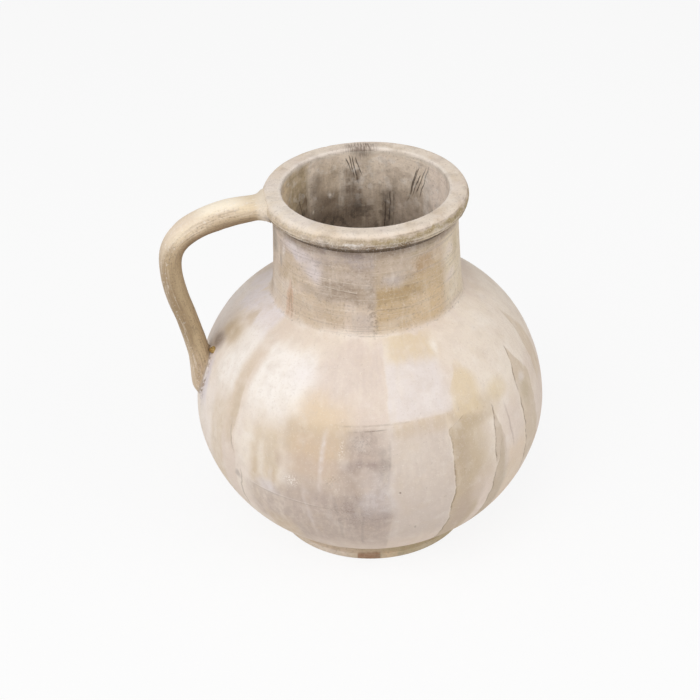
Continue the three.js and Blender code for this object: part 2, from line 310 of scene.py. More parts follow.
def section_rows():
    """The section's points in order, the rows where each named stretch starts and ends, and the
    length along the section at each row."""
    points = np.zeros((0, 2))
    spans = {}
    for name, stretches in outline().items():
        start = max(len(points) - 1, 0)
        for curve, step in stretches:
            shared = min(len(points), 1)
            points = np.vstack([points, spaced(curve, step)[shared:]])
        spans[name] = (start, len(points) - 1)
    return points, spans, run_length(points)


SECTION, SPANS, SECTION_LENGTH = section_rows()
TURN = np.arange(AROUND) / AROUND


def dents(turn, along, radius, span, count, seed, size, depth):
    """Shallow hollows scattered over a stretch of the surface."""
    random = np.random.default_rng(seed)
    total = np.zeros(np.broadcast(turn, along).shape)
    for _ in range(count):
        middle = random.uniform(*span)
        degrees = random.uniform(0, 360)
        wide = random.uniform(*size)
        deep = random.uniform(*depth)
        across = np.radians(degrees_apart(turn, degrees)) * radius
        near = (across / wide) ** 2 + ((along - middle) / wide) ** 2
        total -= deep * np.exp(-1.6 * near)
    return total


def length_at(name, share):
    """The length along the section at a share of a named stretch."""
    start, end = SPANS[name]
    return SECTION_LENGTH[start] + share * (SECTION_LENGTH[end] - SECTION_LENGTH[start])


def scratch(turn, height, degrees, reach, at_height, tilt, wide, deep):
    """A short groove across the surface, centred at an angle and height."""
    apart = degrees_apart(turn, degrees)
    fade = 1 - smooth_step(0.6, 1, np.abs(apart) / reach)
    line_height = at_height + tilt * apart / reach
    return -deep * fade * np.exp(-(((height - line_height) / wide) ** 2))


# Waves of the thrown clay: depth, seed, cells round the vase and length of a cell
WAVES = ((0.3, 11, 5, 75), (0.12, 12, 14, 26), (0.05, 13, 60, 9))
# Rings left by the fingers: how far they climb in a turn, their height, and their depth on the
# whole outside, more on the neck and more inside
RING_CLIMB = 6
RING_HEIGHT = 5.5
RING_DEPTHS = (0.05, 0.13, 0.12)
# Hollows: the ends of their stretch, how many, seed, range of half widths and range of depths
HOLLOWS = (
    (("lower_bowl", 0), ("neck", 1), 46, 15, (2.2, 5), (0.1, 0.3)),
    (("rim", 0.12), ("rim", 0.72), 60, 16, (0.8, 2.6), (0.1, 0.4)),
    (("rim", 0.1), ("rim", 0.24), 34, 17, (0.8, 2), (0.15, 0.5)),
    (("foot", 0.9), ("foot", 1), 26, 18, (1, 2.6), (0.1, 0.35)),
)
# The ragged groove under the rim's roll: height above the rim's base, waver, half width and depth
GROOVE_RISE = 8.6
GROOVE_WAVER = 0.7
GROOVE_HALF = 0.8
GROOVE_DEPTH = 0.45
# Sandy clay below that groove: from and to above the rim's base, and its grains as waves
SAND_FROM, SAND_TO = 2, 8
SAND = ((0.12, 21, 260, 1.6),)
# Scratches on the front: angle, reach to each side, height, tilt, half width and depth
SCRATCHES = (
    (84, 13, 165.4, 0.6, 0.8, 0.35),
    (80, 7, 161.2, 0.8, 0.7, 0.22),
    (84, 9, 212.6, 0.2, 0.6, 0.2),
)


def relief():
    """How far each point of the turned surface moves along its normal: inwards or not at all."""
    turn = TURN[None, :]
    along = SECTION_LENGTH[:, None]
    radius = SECTION[:, :1]
    height = SECTION[:, 1:]
    outside = 1 - smooth_step(length_at("rim", 0.75), length_at("rim", 1), along)
    on_neck = band(height, NECK_FILLET_TOP, RIM_BASE, 6) * outside
    whole, neck, within = RING_DEPTHS
    rings = soft_noise(14, turn, along + RING_CLIMB * turn, 3, RING_HEIGHT) - 1
    rings *= whole + neck * on_neck + within * (1 - outside)
    total = smooth_step(0, FOOT_TOP, height) * (unevenness(WAVES, turn, along) + rings)
    for first, last, *hollows in HOLLOWS:
        total += dents(turn, along, radius, (length_at(*first), length_at(*last)), *hollows)
    away = height - RIM_BASE - GROOVE_RISE + GROOVE_WAVER * soft_noise(19, turn, along, 40, 6)
    worn = 0.65 + 0.35 * soft_noise(20, turn, along, 90, 4)
    on_rim = outside * (height > RIM_BASE)
    total -= GROOVE_DEPTH * worn * np.exp(-((away / GROOVE_HALF) ** 2)) * on_rim
    sandy = band(height, RIM_BASE + SAND_FROM, RIM_BASE + SAND_TO, 1.5) * outside
    total += sandy * unevenness(SAND, turn, along)
    for marks in SCRATCHES:
        total += scratch(turn, height, *marks) * outside
    return total


def grid_normals(grid):
    """Smooth normals of a grid of rows that are closed rings."""
    rise = np.gradient(grid, axis=0)
    around = np.roll(grid, -1, axis=1) - np.roll(grid, 1, axis=1)
    normal = np.cross(around, rise)
    size = np.linalg.norm(normal, axis=-1, keepdims=True)
    return normal / np.maximum(size, 1e-15)


def turned_grid():
    """Every point of the turned surface in metres, and the smooth normal there."""
    out = outward(SECTION)
    off = relief()
    off[SECTION[:, 0] < 1] = 0
    radius = SECTION[:, :1] + out[:, :1] * off
    height = SECTION[:, 1:] + out[:, 1:] * off
    angle = 2 * math.pi * TURN[None, :]
    grid = np.stack([-radius * np.cos(angle), -radius * np.sin(angle), height], axis=-1) * MM
    return grid, grid_normals(grid)


def new_object(name, data):
    """An object with that data, placed in the scene."""
    holder = bpy.data.objects.new(name, data)
    bpy.context.scene.collection.objects.link(holder)
    return holder


def flat(sides, up):
    """Normals that point straight up (1) or down (-1)."""
    return np.repeat(np.array([[0.0, 0.0, float(up)]]), sides, 0)


class Shell:
    """A closed mesh made of rings of points, each with its own normals, and flat faces between."""

    def __init__(self):
        self.points = []
        self.corners = []
        self.sizes = []
        self.normals = []
        self.slots = []
        self.count = 0

    def ring(self, points):
        """Takes in a ring of points and returns the number of its first."""
        start = self.count
        self.points.append(points)
        self.count += len(points)
        return start

    def add(self, faces, normals, slot):
        """Takes in faces of one number of sides, with a normal at each corner."""
        self.corners.append(faces.ravel())
        self.normals.append(normals.reshape(-1, 3))
        self.sizes.append(np.full(len(faces), faces.shape[1]))
        self.slots.append(np.full(len(faces), slot))

    def strip(self, low, high, low_normal, high_normal, slot):
        """Faces between two rings of the same number of points."""
        here = np.arange(len(low_normal))
        after = (here + 1) % len(here)
        faces = np.stack([low + here, low + after, high + after, high + here], axis=1)
        corners = (low_normal[here], low_normal[after], high_normal[after], high_normal[here])
        self.add(faces, np.stack(corners, axis=1), slot)

    def rings(self, points, normals, slot, first=None):
        """Rings and the faces between them, from a ring that is there already if that is given.
        It returns where each ring starts."""
        starts = [self.ring(points[0]) if first is None else first]
        starts += [self.ring(row) for row in points[1:]]
        for i in range(len(starts) - 1):
            self.strip(starts[i], starts[i + 1], normals[i], normals[i + 1], slot)
        return starts

    def seat(self, ring, other, up):
        """The flat ring of bare clay where one turned piece sits on the next."""
        self.strip(ring, other, flat(AROUND, up), flat(AROUND, up), BARE)

    def fan(self, ring, centre, ring_normal, centre_normal, slot, flip=False):
        """Triangles from a ring to one point."""
        middle = self.ring(np.array([centre], float))
        sides = len(ring_normal)
        here = np.arange(sides)
        after = (here + 1) % sides
        if flip:
            here, after = after, here
        faces = np.stack([ring + here, ring + after, np.full(sides, middle)], axis=1)
        middles = np.repeat(np.array(centre_normal, float)[None], sides, 0)
        self.add(faces, np.stack([ring_normal[here], ring_normal[after], middles], axis=1), slot)

    def disc(self, ring, height, up):
        """A flat face of bare clay that closes a ring round the axis."""
        centre = (0, 0, height * MM)
        self.fan(ring, centre, flat(AROUND, up), (0, 0, up), BARE, flip=up < 0)

    def make(self, name, materials):
        """The mesh as an object of that name."""
        points = np.vstack(self.points)
        corners = np.concatenate(self.corners)
        sizes = np.concatenate(self.sizes)
        starts = np.r_[0, np.cumsum(sizes)[:-1]]
        slots = np.concatenate(self.slots)
        mesh = bpy.data.meshes.new(name)
        mesh.vertices.add(len(points))
        mesh.vertices.foreach_set("co", points.astype(np.float32).ravel())
        mesh.loops.add(len(corners))
        mesh.loops.foreach_set("vertex_index", corners.astype(np.int32))
        mesh.polygons.add(len(sizes))
        mesh.polygons.foreach_set("loop_start", starts.astype(np.int32))
        mesh.polygons.foreach_set("material_index", slots.astype(np.int32))
        for material in materials:
            mesh.materials.append(material)
        mesh.update(calc_edges=True)
        mesh.polygons.foreach_set("use_smooth", np.ones(len(sizes), bool))
        mesh.normals_split_custom_set(np.vstack(self.normals).tolist())
        mesh.update()
        return new_object(name, mesh)


GRID, GRID_NORMAL = turned_grid()
PAINTED, INSIDE, BARE = 0, 1, 2

# The bowl and the shoulder carry so many strokes that each sector has a paint of its own
SECTORS = ((-15, 88), (88, 172), (172, 345))
SECTOR_SLOTS = (PAINTED, 3, 4)
WITHIN_SECTOR = [(TURN * 360 >= first) & (TURN * 360 < last) for first, last in SECTORS[1:]]
PAINTED_ROUND = np.select(WITHIN_SECTOR, SECTOR_SLOTS[1:], PAINTED)


def turned_wall(shell, start, end, slot, first=None):
    """The turned surface from one of its rows to another."""
    rows = slice(start, end + 1)
    return shell.rings(GRID[rows], GRID_NORMAL[rows], slot, first)


def turned_ring(name, outer, inner, painted, materials):
    """A turned piece that is open through the middle."""
    shell = Shell()
    outside = turned_wall(shell, *SPANS[outer], painted)
    inside = turned_wall(shell, *SPANS[inner], INSIDE)
    shell.seat(outside[-1], inside[0], 1)
    shell.seat(inside[-1], outside[0], -1)
    return shell.make(name, materials)


def turned_rim(name, materials):
    """The rim: painted outside and over the lip to the mouth's edge, scrubbed below it."""
    start, end = SPANS["rim"]
    over_edge = SECTION[start : end + 1, 1] > LIP - MOUTH_EDGE - 0.01
    edge = start + int(np.flatnonzero(over_edge)[-1])
    shell = Shell()
    outside = turned_wall(shell, start, edge, PAINTED)
    inside = turned_wall(shell, edge, end, INSIDE, outside[-1])
    shell.seat(inside[-1], outside[0], -1)
    return shell.make(name, materials)


def turned_bowl(name, materials):
    """The lower bowl, with its floor and the flat face that sits on the foot."""
    start, end = SPANS["bowl_inside"]
    shell = Shell()
    outside = turned_wall(shell, *SPANS["lower_bowl"], PAINTED_ROUND)
    inside = turned_wall(shell, start, end - 1, INSIDE)
    shell.seat(outside[-1], inside[0], 1)
    shell.fan(inside[-1], (0, 0, FLOOR * MM), GRID_NORMAL[end - 1], (0, 0, 1), INSIDE)
    shell.disc(outside[0], FOOT_TOP, -1)
    return shell.make(name, materials)


def turned_foot(name, materials):
    """The solid foot."""
    start, end = SPANS["foot"]
    shell = Shell()
    rings = turned_wall(shell, start + 1, end, PAINTED)
    shell.disc(rings[0], 0, -1)
    shell.disc(rings[-1], FOOT_TOP, 1)
    return shell.make(name, materials)


# The strap handle: the same centre line and sections as the solid, with soft joints to the body.
# A reach is a direction in degrees and a length, and a size is a thickness and a width.
ROOT_POINT = (RIM_RADIUS, LIP - 10)
BEND_POINT = (GIRTH_RADIUS + 10.8, LIP - 52.6)
TAIL_HEIGHT = GIRTH + 16.5
TAIL_SINK = 7.8
ROOT_DEPTH = 4.5
ARM_REACHES = ((-14.7, 11.8), (90, 41.3))
DROP_REACHES = ((-90, 31.8), (86.3, 66.5))
ROOT_SIZE = (17.5, 25)
ARM_THICK = 21.2
ARM_THICKEST_AT = 26
GRIP_SIZE = (18.4, 24)
TAIL_SIZE = (18.6, 23)
TAIL_BLEND = 45
SQUARENESS = 2.4
ROOT_LENGTH = 15
TAIL_LENGTH = 49
TAIL_ROUND = 13
TAIL_FLARE = 2.2
STRAP_SIDES = 96
STRAP_STEP = 1
TIP_ROWS = 19
ROOT_FILLET = 8
TAIL_FILLET = 3
HIDDEN_DEPTH = 2.5
LIP_GAP = 0.9
THINNER_IN_RIM = 0.12
FLARE_START = 6
# Depths below the lip between which the root's fillet grows to its full size
FILLET_DEPTHS = (1.5, 8)
STRAP_BARE = 1
# Lumps left by pulling the strap and fine drag lines along it, as waves, and a few hollows that
# start at a length along it
STRAP_WAVES = ((0.45, 31, 3, 30), (0.2, 32, 7, 13), (0.09, 33, 34, 24), (0.05, 34, 60, 6))
STRAP_HOLLOWS_FROM = 30
STRAP_HOLLOWS = (30, 35, (1.2, 3), (0.1, 0.35))
STRAP_RADIUS = 11


def strap_line():
    """The handle's centre line as radius and height, from inside the rim to inside the belly."""
    tail = (radius_at(TAIL_HEIGHT, upper) - TAIL_SINK, TAIL_HEIGHT)
    start = (ROOT_POINT[0] - ROOT_DEPTH, ROOT_POINT[1])
    arm_pulls = (polar(ROOT_POINT, *ARM_REACHES[0]), polar(BEND_POINT, *ARM_REACHES[1]))
    drop_pulls = (polar(BEND_POINT, *DROP_REACHES[0]), polar(tail, *DROP_REACHES[1]))
    arm = bezier([ROOT_POINT, *arm_pulls, BEND_POINT])
    drop = bezier([BEND_POINT, *drop_pulls, tail])
    into_rim = spaced(line(start, ROOT_POINT), 0.2)
    path = np.vstack([into_rim, arm[1:], drop[1:]])
    length = run_length(path)
    return path, length, length[len(into_rim) + len(arm) - 2]


STRAP_PATH, STRAP_LENGTH, BEND_AT = strap_line()
STRAP_END = STRAP_LENGTH[-1]
ROOT_END = ROOT_DEPTH + ROOT_LENGTH
TAIL_START = STRAP_END - TAIL_LENGTH
TIP_START = STRAP_END - TAIL_ROUND


def mix(a, b, share):
    """A value from a (share 0) to b (share 1)."""
    return a + (b - a) * share


def strap_half_size(at):
    """Half thickness and half width of the strap at a length along its centre line."""
    peak = ROOT_DEPTH + ARM_THICKEST_AT
    into_arm = smooth_step(ROOT_DEPTH, peak, at)
    into_grip = smooth_step(peak, BEND_AT, at)
    into_tail = smooth_step(STRAP_END - TAIL_BLEND, STRAP_END, at)
    thick = mix(mix(ROOT_SIZE[0], ARM_THICK, into_arm), GRIP_SIZE[0], into_grip)
    wide = mix(ROOT_SIZE[1], GRIP_SIZE[1], into_grip)
    return mix(thick, TAIL_SIZE[0], into_tail) / 2, mix(wide, TAIL_SIZE[1], into_tail) / 2


BODY_ROWS = slice(SPANS["foot"][0] + 1, SPANS["rim"][1])


def clearance(points):
    """Distance of points, in millimetres, outside the turned body, and the body's normal there."""
    rho = np.hypot(points[..., 0], points[..., 1])
    flat_points = np.stack([rho.ravel(), points[..., 2].ravel()], axis=1)
    body = SECTION[BODY_ROWS]
    nearest = np.argmin(((flat_points[:, None] - body[None]) ** 2).sum(-1), axis=1)
    normal = outward(body)[nearest]
    distance = ((flat_points - body[nearest]) * normal).sum(1).reshape(rho.shape)
    normal = normal.reshape(rho.shape + (2,))
    level = points[..., :2] / np.maximum(rho, 1e-9)[..., None]
    return distance, np.concatenate([level * normal[..., :1], normal[..., 1:]], axis=-1)


def fillet(distance, radius):
    """How far a surface swells where it meets another at that distance, for a round fillet."""
    short = radius - np.clip(distance, 0, radius)
    return radius - np.sqrt(radius**2 - short**2)


def squared(wave):
    """A sine or cosine that makes a squarish oval in place of a round one."""
    return np.sign(wave) * np.abs(wave) ** (2 / SQUARENESS)


def strap_rows():
    """The lengths along the strap of its rows, and the share that its round end leaves of each."""
    straight = np.arange(0, TIP_START, STRAP_STEP)
    tip = np.linspace(0, math.pi / 2, TIP_ROWS + 1)[:-1]
    at = np.r_[straight, TIP_START + TAIL_ROUND * np.sin(tip)]
    at, first = np.unique(at, return_index=True)
    return at[:, None], np.r_[np.ones(len(straight)), np.cos(tip)][first][:, None]


def joined_to_body(points, at):
    """The strap's points swollen to fillets at both joints, and no deeper in the body than need
    be, with their distance from the body before that."""
    distance, _ = clearance(points)
    under_lip = 1 - 0.9 * smooth_step(LIP - FILLET_DEPTHS[1], LIP - FILLET_DEPTHS[0], points[..., 2])
    at_root = fillet(distance, ROOT_FILLET) * under_lip * smooth_step(0, 2.5, at)
    at_tail = fillet(distance, TAIL_FILLET) * (1 - smooth_step(TIP_START - 4, STRAP_END, at))
    swell = np.where(at < BEND_AT, at_root, at_tail)
    points = points + grid_normals(points) * swell[..., None]
    points[..., 2] = np.minimum(points[..., 2], LIP - LIP_GAP)
    distance, body_normal = clearance(points)
    too_deep = np.minimum(distance + HIDDEN_DEPTH, 0) * (at > BEND_AT)
    return points - body_normal * too_deep[..., None], distance


def strap_grid():
    """Every point of the strap in metres, its smooth normals, the length along it of each row, and
    three numbers for its paint: that length, how far it faces out and how far the body is."""
    at, shrink = strap_rows()
    lengths = at[:, 0]
    middle = points_at(lengths, STRAP_LENGTH, STRAP_PATH)
    after = points_at(lengths + STRAP_STEP / 2, STRAP_LENGTH, STRAP_PATH)
    before = points_at(lengths - STRAP_STEP / 2, STRAP_LENGTH, STRAP_PATH)
    ahead = unit(after - before)
    turn = np.arange(STRAP_SIDES)[None, :] / STRAP_SIDES
    thick, wide = strap_half_size(at)
    flare = TAIL_FLARE * smooth_step(TAIL_START + FLARE_START, TIP_START, at)
    grow = flare + unevenness(STRAP_WAVES, turn, at)
    grow = grow + dents(turn, at, STRAP_RADIUS, (STRAP_HOLLOWS_FROM, STRAP_END), *STRAP_HOLLOWS)
    size = shrink * (1 - THINNER_IN_RIM * (1 - smooth_step(0, ROOT_DEPTH, at)))
    facing = squared(np.cos(2 * math.pi * turn))
    out = (thick + grow) * size * facing
    side = (wide + grow) * size * squared(np.sin(2 * math.pi * turn))
    x = out * ahead[:, 1:] - middle[:, :1]
    z = out * ahead[:, :1] + middle[:, 1:]
    points, distance = joined_to_body(np.stack([x, side, z], axis=-1), at)
    place = np.stack(np.broadcast_arrays(at, facing, distance), axis=-1)
    return points * MM, grid_normals(points), lengths, place


STRAP, STRAP_NORMAL, STRAP_AT, STRAP_PLACE = strap_grid()
STRAP_LAYER = "strap"


def strap_row(at):
    """The row of the strap's grid nearest to a length along it."""
    return int(np.argmin(np.abs(STRAP_AT - at)))


def strap_piece(name, first, last, materials):
    """The stretch of the strap between two of its rows, closed with a flat cap at each end."""
    rows = slice(first, last + 1)
    shell = Shell()
    starts = shell.rings(STRAP[rows], STRAP_NORMAL[rows], PAINTED)
    for row, ring, ahead in ((first, starts[0], -1), (last, starts[-1], 1)):
        centre = STRAP[row].mean(axis=0)
        spread = STRAP[row] - centre
        normal = np.cross(spread[0], spread[STRAP_SIDES // 4])
        normal = ahead * normal / np.linalg.norm(normal)
        normals = np.repeat(normal[None], STRAP_SIDES, 0)
        shell.fan(ring, centre, normals, normal, STRAP_BARE, flip=ahead < 0)
    piece = shell.make(name, materials)
    caps = [STRAP_PLACE[row].mean(axis=0)[None] for row in (first, last)]
    place = np.vstack([*STRAP_PLACE[rows], *caps])
    layer = piece.data.attributes.new(STRAP_LAYER, "FLOAT_VECTOR", "POINT")
    layer.data.foreach_set("vector", place.astype(np.float32).ravel())
    return piece


# A dab of slip squeezed out beside the handle's foot
DAB_CENTRE = (-123.6, -7.2, 169.2)
DAB_SIZE = (3.2, 2.9, 2.7)
DAB_ROWS = 24
DAB_SIDES = 32
# Lumps: depth, seed, stretch from bottom to top, cells round and length of a cell
DAB_LUMPS = ((0.13, 41, 3, 4, 1.1), (0.05, 42, 8, 9, 1))


def dab_piece(name, materials):
    """A lumpy ball of slip."""
    turn = np.arange(DAB_SIDES)[None, :] / DAB_SIDES
    down = np.linspace(0, math.pi, DAB_ROWS + 2)[1:-1][:, None]
    lump = 1
    for depth, seed, stretch, *cells in DAB_LUMPS:
        lump = lump + depth * soft_noise(seed, turn, down * stretch, *cells)
    angle = 2 * math.pi * turn
    ball = (np.sin(down) * np.cos(angle), np.sin(down) * np.sin(angle), -np.cos(down))
    grid = np.stack(np.broadcast_arrays(*ball), axis=-1) * lump[..., None] * DAB_SIZE
    grid = (grid + DAB_CENTRE) * MM
    normal = grid_normals(grid)
    shell = Shell()
    starts = shell.rings(grid, normal, PAINTED)
    shell.fan(starts[0], grid[0].mean(axis=0), normal[0], (0, 0, -1), PAINTED, flip=True)
    shell.fan(starts[-1], grid[-1].mean(axis=0), normal[-1], (0, 0, 1), PAINTED)
    return shell.make(name, materials)


class Field:
    """A number that varies over a surface: one output in a node tree."""

    def __init__(self, nodes, socket):
        self.nodes = nodes
        self.socket = socket

    def __add__(self, other):
        return self.nodes.math("ADD", self, other)

    def __sub__(self, other):
        return self.nodes.math("SUBTRACT", self, other)

    def __rsub__(self, other):
        return self.nodes.math("SUBTRACT", other, self)

    def __mul__(self, other):
        return self.nodes.math("MULTIPLY", self, other)

    def __truediv__(self, other):
        return self.nodes.math("DIVIDE", self, other)

    def size(self):
        """The number without its sign."""
        return self.nodes.math("ABSOLUTE", self)

    def step(self, low, high):
        """0 below low, 1 above high and smooth between. Numbers with low above high make it fall."""
        falls = not isinstance(low, Field) and low > high
        node = self.nodes.node("ShaderNodeMapRange", interpolation_type="SMOOTHSTEP")
        self.nodes.feed(self, node.inputs["Value"])
        self.nodes.feed(high if falls else low, node.inputs["From Min"])
        self.nodes.feed(low if falls else high, node.inputs["From Max"])
        node.inputs["To Min"].default_value = 1 if falls else 0
        node.inputs["To Max"].default_value = 0 if falls else 1
        return Field(self.nodes, node.outputs["Result"])


class Nodes:
    """A node tree that is built from sums and products of fields."""

    def __init__(self, tree):
        self.tree = tree

    def node(self, kind, **settings):
        """A new node of that kind, with its settings."""
        node = self.tree.nodes.new(kind)
        for name, value in settings.items():
            setattr(node, name, value)
        return node

    def feed(self, value, socket):
        """Sets a node's input from a field, another node's output or a plain number."""
        if isinstance(value, Field):
            value = value.socket
        if isinstance(value, bpy.types.NodeSocket):
            self.tree.links.new(value, socket)
        else:
            socket.default_value = value

    def fed(self, node, *values):
        """The node, with its first inputs set."""
        for value, socket in zip(values, node.inputs):
            self.feed(value, socket)
        return node

    def math(self, operation, *values):
        """The result of one step of arithmetic on fields or numbers."""
        node = self.fed(self.node("ShaderNodeMath", operation=operation), *values)
        return Field(self, node.outputs[0])

    def vector_math(self, operation, *values):
        """The output of one step of arithmetic on vectors."""
        return self.fed(self.node("ShaderNodeVectorMath", operation=operation), *values).outputs[0]

    def joined(self, x, y, z):
        """A vector of three fields or numbers."""
        return self.fed(self.node("ShaderNodeCombineXYZ"), x, y, z).outputs[0]

    def parted(self, vector):
        """The three numbers of a vector, as fields."""
        split = self.fed(self.node("ShaderNodeSeparateXYZ"), vector)
        return [Field(self, output) for output in split.outputs]


# Studio: a pale floor, a white surround and four soft lamps
WHITE = (1, 1, 1, 1)
SURROUND_LIGHT = 0.4
FLOOR_SIDE = 30.0
FLOOR_COLOUR = (0.86, 0.86, 0.86, 1)
FLOOR_SHOWS_WHITE = 0.86
# Lamps: name, place, size and power
LAMPS = (
    ("key_lamp", (-0.9, -1.5, 2.0), 1.6, 23),
    ("fill_lamp", (1.5, -1.1, 1.2), 1.6, 12),
    ("left_lamp", (-1.8, -0.5, 1.1), 1.4, 8),
    ("top_lamp", (0.1, -0.4, 2.4), 1.4, 4),
)
LAMPS_AIM = (0, 0, 0.15)


def show_white(tree, lit, white_kind, output, share):
    """Mixes plain white into what the camera sees straight, mirrored or through glass."""
    nodes = Nodes(tree)
    path = nodes.node("ShaderNodeLightPath").outputs
    seen = nodes.math("MAXIMUM", path["Is Camera Ray"], path["Is Glossy Ray"])
    seen = nodes.math("MAXIMUM", seen, path["Is Transmission Ray"])
    white = nodes.fed(nodes.node(white_kind), WHITE, 1)
    mixer = nodes.node("ShaderNodeMixShader")
    nodes.fed(mixer, seen * share, lit.outputs[0], white.outputs[0])
    nodes.feed(mixer.outputs[0], tree.nodes[output].inputs["Surface"])


def make_world():
    """A soft surround that lights the vase and looks white."""
    world = bpy.data.worlds.new("studio_surround")
    bpy.context.scene.world = world
    world.use_nodes = True
    soft = world.node_tree.nodes["Background"]
    soft.inputs["Color"].default_value = WHITE
    soft.inputs["Strength"].default_value = SURROUND_LIGHT
    show_white(world.node_tree, soft, "ShaderNodeBackground", "World Output", 1)


def make_floor():
    """A pale matt floor that takes a faint shadow."""
    mesh = bpy.data.meshes.new("studio_floor")
    half = FLOOR_SIDE / 2
    corners = [(-half, -half, 0), (half, -half, 0), (half, half, 0), (-half, half, 0)]
    mesh.from_pydata(corners, [], [(0, 1, 2, 3)])
    floor = new_object("studio_floor", mesh)
    material = bpy.data.materials.new("studio_floor")
    material.use_nodes = True
    lit = material.node_tree.nodes["Principled BSDF"]
    lit.inputs["Base Color"].default_value = FLOOR_COLOUR
    lit.inputs["Roughness"].default_value = 0.9
    lit.inputs["Specular IOR Level"].default_value = 0.2
    show_white(material.node_tree, lit, "ShaderNodeEmission", "Material Output", FLOOR_SHOWS_WHITE)
    mesh.materials.append(material)


def make_lamps():
    """The soft round lamps, each turned to the vase."""
    for name, place, size, power in LAMPS:
        lamp = bpy.data.lights.new(name, "AREA")
        lamp.shape = "DISK"
        lamp.size = size
        lamp.energy = power
        holder = new_object(name, lamp)
        holder.location = place
        ahead = Vector(LAMPS_AIM) - Vector(place)
        holder.rotation_euler = ahead.to_track_quat("-Z", "Y").to_euler()


# The camera's place was worked out from the vase's outline: metres, degrees, and pixels
CAMERA_AWAY = 1.1222
CAMERA_HEIGHT = 0.88238
CAMERA_ROUND = 8
CAMERA_DOWN = 33.122
CAMERA_ASIDE = -0.766
CAMERA_ROLL = -1.735
CAMERA_FOCAL_PIXELS = 1674.03
IMAGE_PIXELS = 700
SENSOR = 36


def make_camera():
    """The camera at the photo's place, tilt and focal length."""
    camera = bpy.data.cameras.new("camera")
    camera.sensor_width = SENSOR
    camera.lens = SENSOR * CAMERA_FOCAL_PIXELS / IMAGE_PIXELS
    camera.clip_start = 0.05
    camera.clip_end = 60
    holder = new_object("camera", camera)
    aside, down, roll = (math.radians(a) for a in (CAMERA_ASIDE, CAMERA_DOWN, CAMERA_ROLL))
    level = math.cos(down)
    ahead = Vector((math.sin(aside) * level, math.cos(aside) * level, -math.sin(down)))
    right = Vector((math.cos(aside), -math.sin(aside), 0))
    up = right.cross(ahead)
    rolled_right = right * math.cos(roll) + up * math.sin(roll)
    rolled_up = up * math.cos(roll) - right * math.sin(roll)
    axes = Matrix((rolled_right, rolled_up, -ahead)).transposed().to_4x4()
    axes.translation = (0, -CAMERA_AWAY, CAMERA_HEIGHT)
    holder.matrix_world = Matrix.Rotation(math.radians(-CAMERA_ROUND), 4, "Z") @ axes
    bpy.context.scene.camera = holder


# Paint. Colours are written as they look in plain light: red, green and blue from 0 to 255.
# Strokes have places on the vase: angles round it in degrees, heights above the table in
# millimetres. Each is put where the photo shows it, or in the same manner on the hidden side.
WARM_WHITE = (246, 239, 232)
CREAM = (238, 226, 211)
LILAC = (228, 218, 214)
PINK = (221, 204, 192)
PEACH = (226, 202, 172)
TAN = (208, 187, 160)
KHAKI = (188, 166, 134)
OLIVE = (176, 160, 126)
TAUPE = (190, 172, 160)
GREY = (160, 146, 138)
DRIED_EDGE = (138, 118, 98)
UMBER = (112, 95, 80)
SOOT_AND_SHADOW = (62, 52, 44)
RUST = (168, 134, 108)
AMBER = (160, 126, 70)
BLUSH = (232, 216, 204)
PEARL = (216, 205, 204)
FAWN = (206, 188, 166)
DUST = (140, 122, 106)


def as_light(colour):
    """The colour as Blender's nodes hold it."""
    parts = [part / 255 for part in colour]
    return (*(part / 12.92 if part <= 0.04045 else ((part + 0.055) / 1.055) ** 2.4 for part in parts), 1)


def mask_group(name, labels, build):
    """A node group that works out one mask from named numbers, made once for all materials."""
    tree = bpy.data.node_groups.new(name, "ShaderNodeTree")
    labels = labels.split()
    for label in labels:
        tree.interface.new_socket(label, in_out="INPUT", socket_type="NodeSocketFloat")
    tree.interface.new_socket("mask", in_out="OUTPUT", socket_type="NodeSocketFloat")
    nodes = Nodes(tree)
    entry = nodes.node("NodeGroupInput")
    last = nodes.node("NodeGroupOutput")
    fields = [Field(nodes, socket) for socket in entry.outputs[: len(labels)]]
    nodes.feed(build(*fields), last.inputs[0])
    return tree


# Degrees over which a dried edge fades in and out, from the side of its run
DRIED_FADES = ((-0.2, 0.05), (0.75, 0.15))


def between(place, first, first_in, last_in, last):
    """1 between two ends, each of which fades over a stretch."""
    return place.step(first, first_in) * (1 - place.step(last_in, last))


def block_mask(turned, risen, bristles, *numbers):
    """A block between two angles and two heights, partly broken up by bristles."""
    across, up, (even, dry) = numbers[:4], numbers[4:8], numbers[8:]
    return between(turned, *across) * between(risen, *up) * (even + dry * bristles)


def spot_mask(turned, risen, at, height, wide, tall, inner, outer, share):
    """A rounded patch."""
    across = (turned - at) / wide
    up = (risen - height) / tall
    away = across.nodes.math("SQRT", across * across + up * up)
    return (1 - away.step(inner, outer)) * share


def run_mask(
    turned, risen, left, right, half, closed_from, closed, soft_left, soft_right, low, low_in, share
):
    """A run of paint: its sides close to a point at the top."""
    closing = risen.step(closed_from, closed) * half
    inward = turned - closing - left
    outer = right - closing - turned
    body = inward.step(soft_left * -1, soft_left) * outer.step(soft_right * -1, soft_right)
    return body * between(risen, low, low_in, closed - 3, closed + 1) * share


def dried_mask(turned, risen, gaps, left, half, closed_from, closed, low, low_in, high, share):
    """The dark line where the left edge of a run dried."""
    inward = turned - risen.step(closed_from, closed) * half - left
    edge = inward.step(*DRIED_FADES[0]) * inward.step(*DRIED_FADES[1])
    return edge * between(risen, low, low_in, high, high + 2) * gaps * share


def upright_mask(turned, risen, foot, slope, thin, wide, *numbers):
    """A thin line up the vase."""
    apart = (turned - risen * slope - foot).size()
    return (1 - apart.step(thin, wide)) * between(risen, *numbers[:4]) * numbers[4]


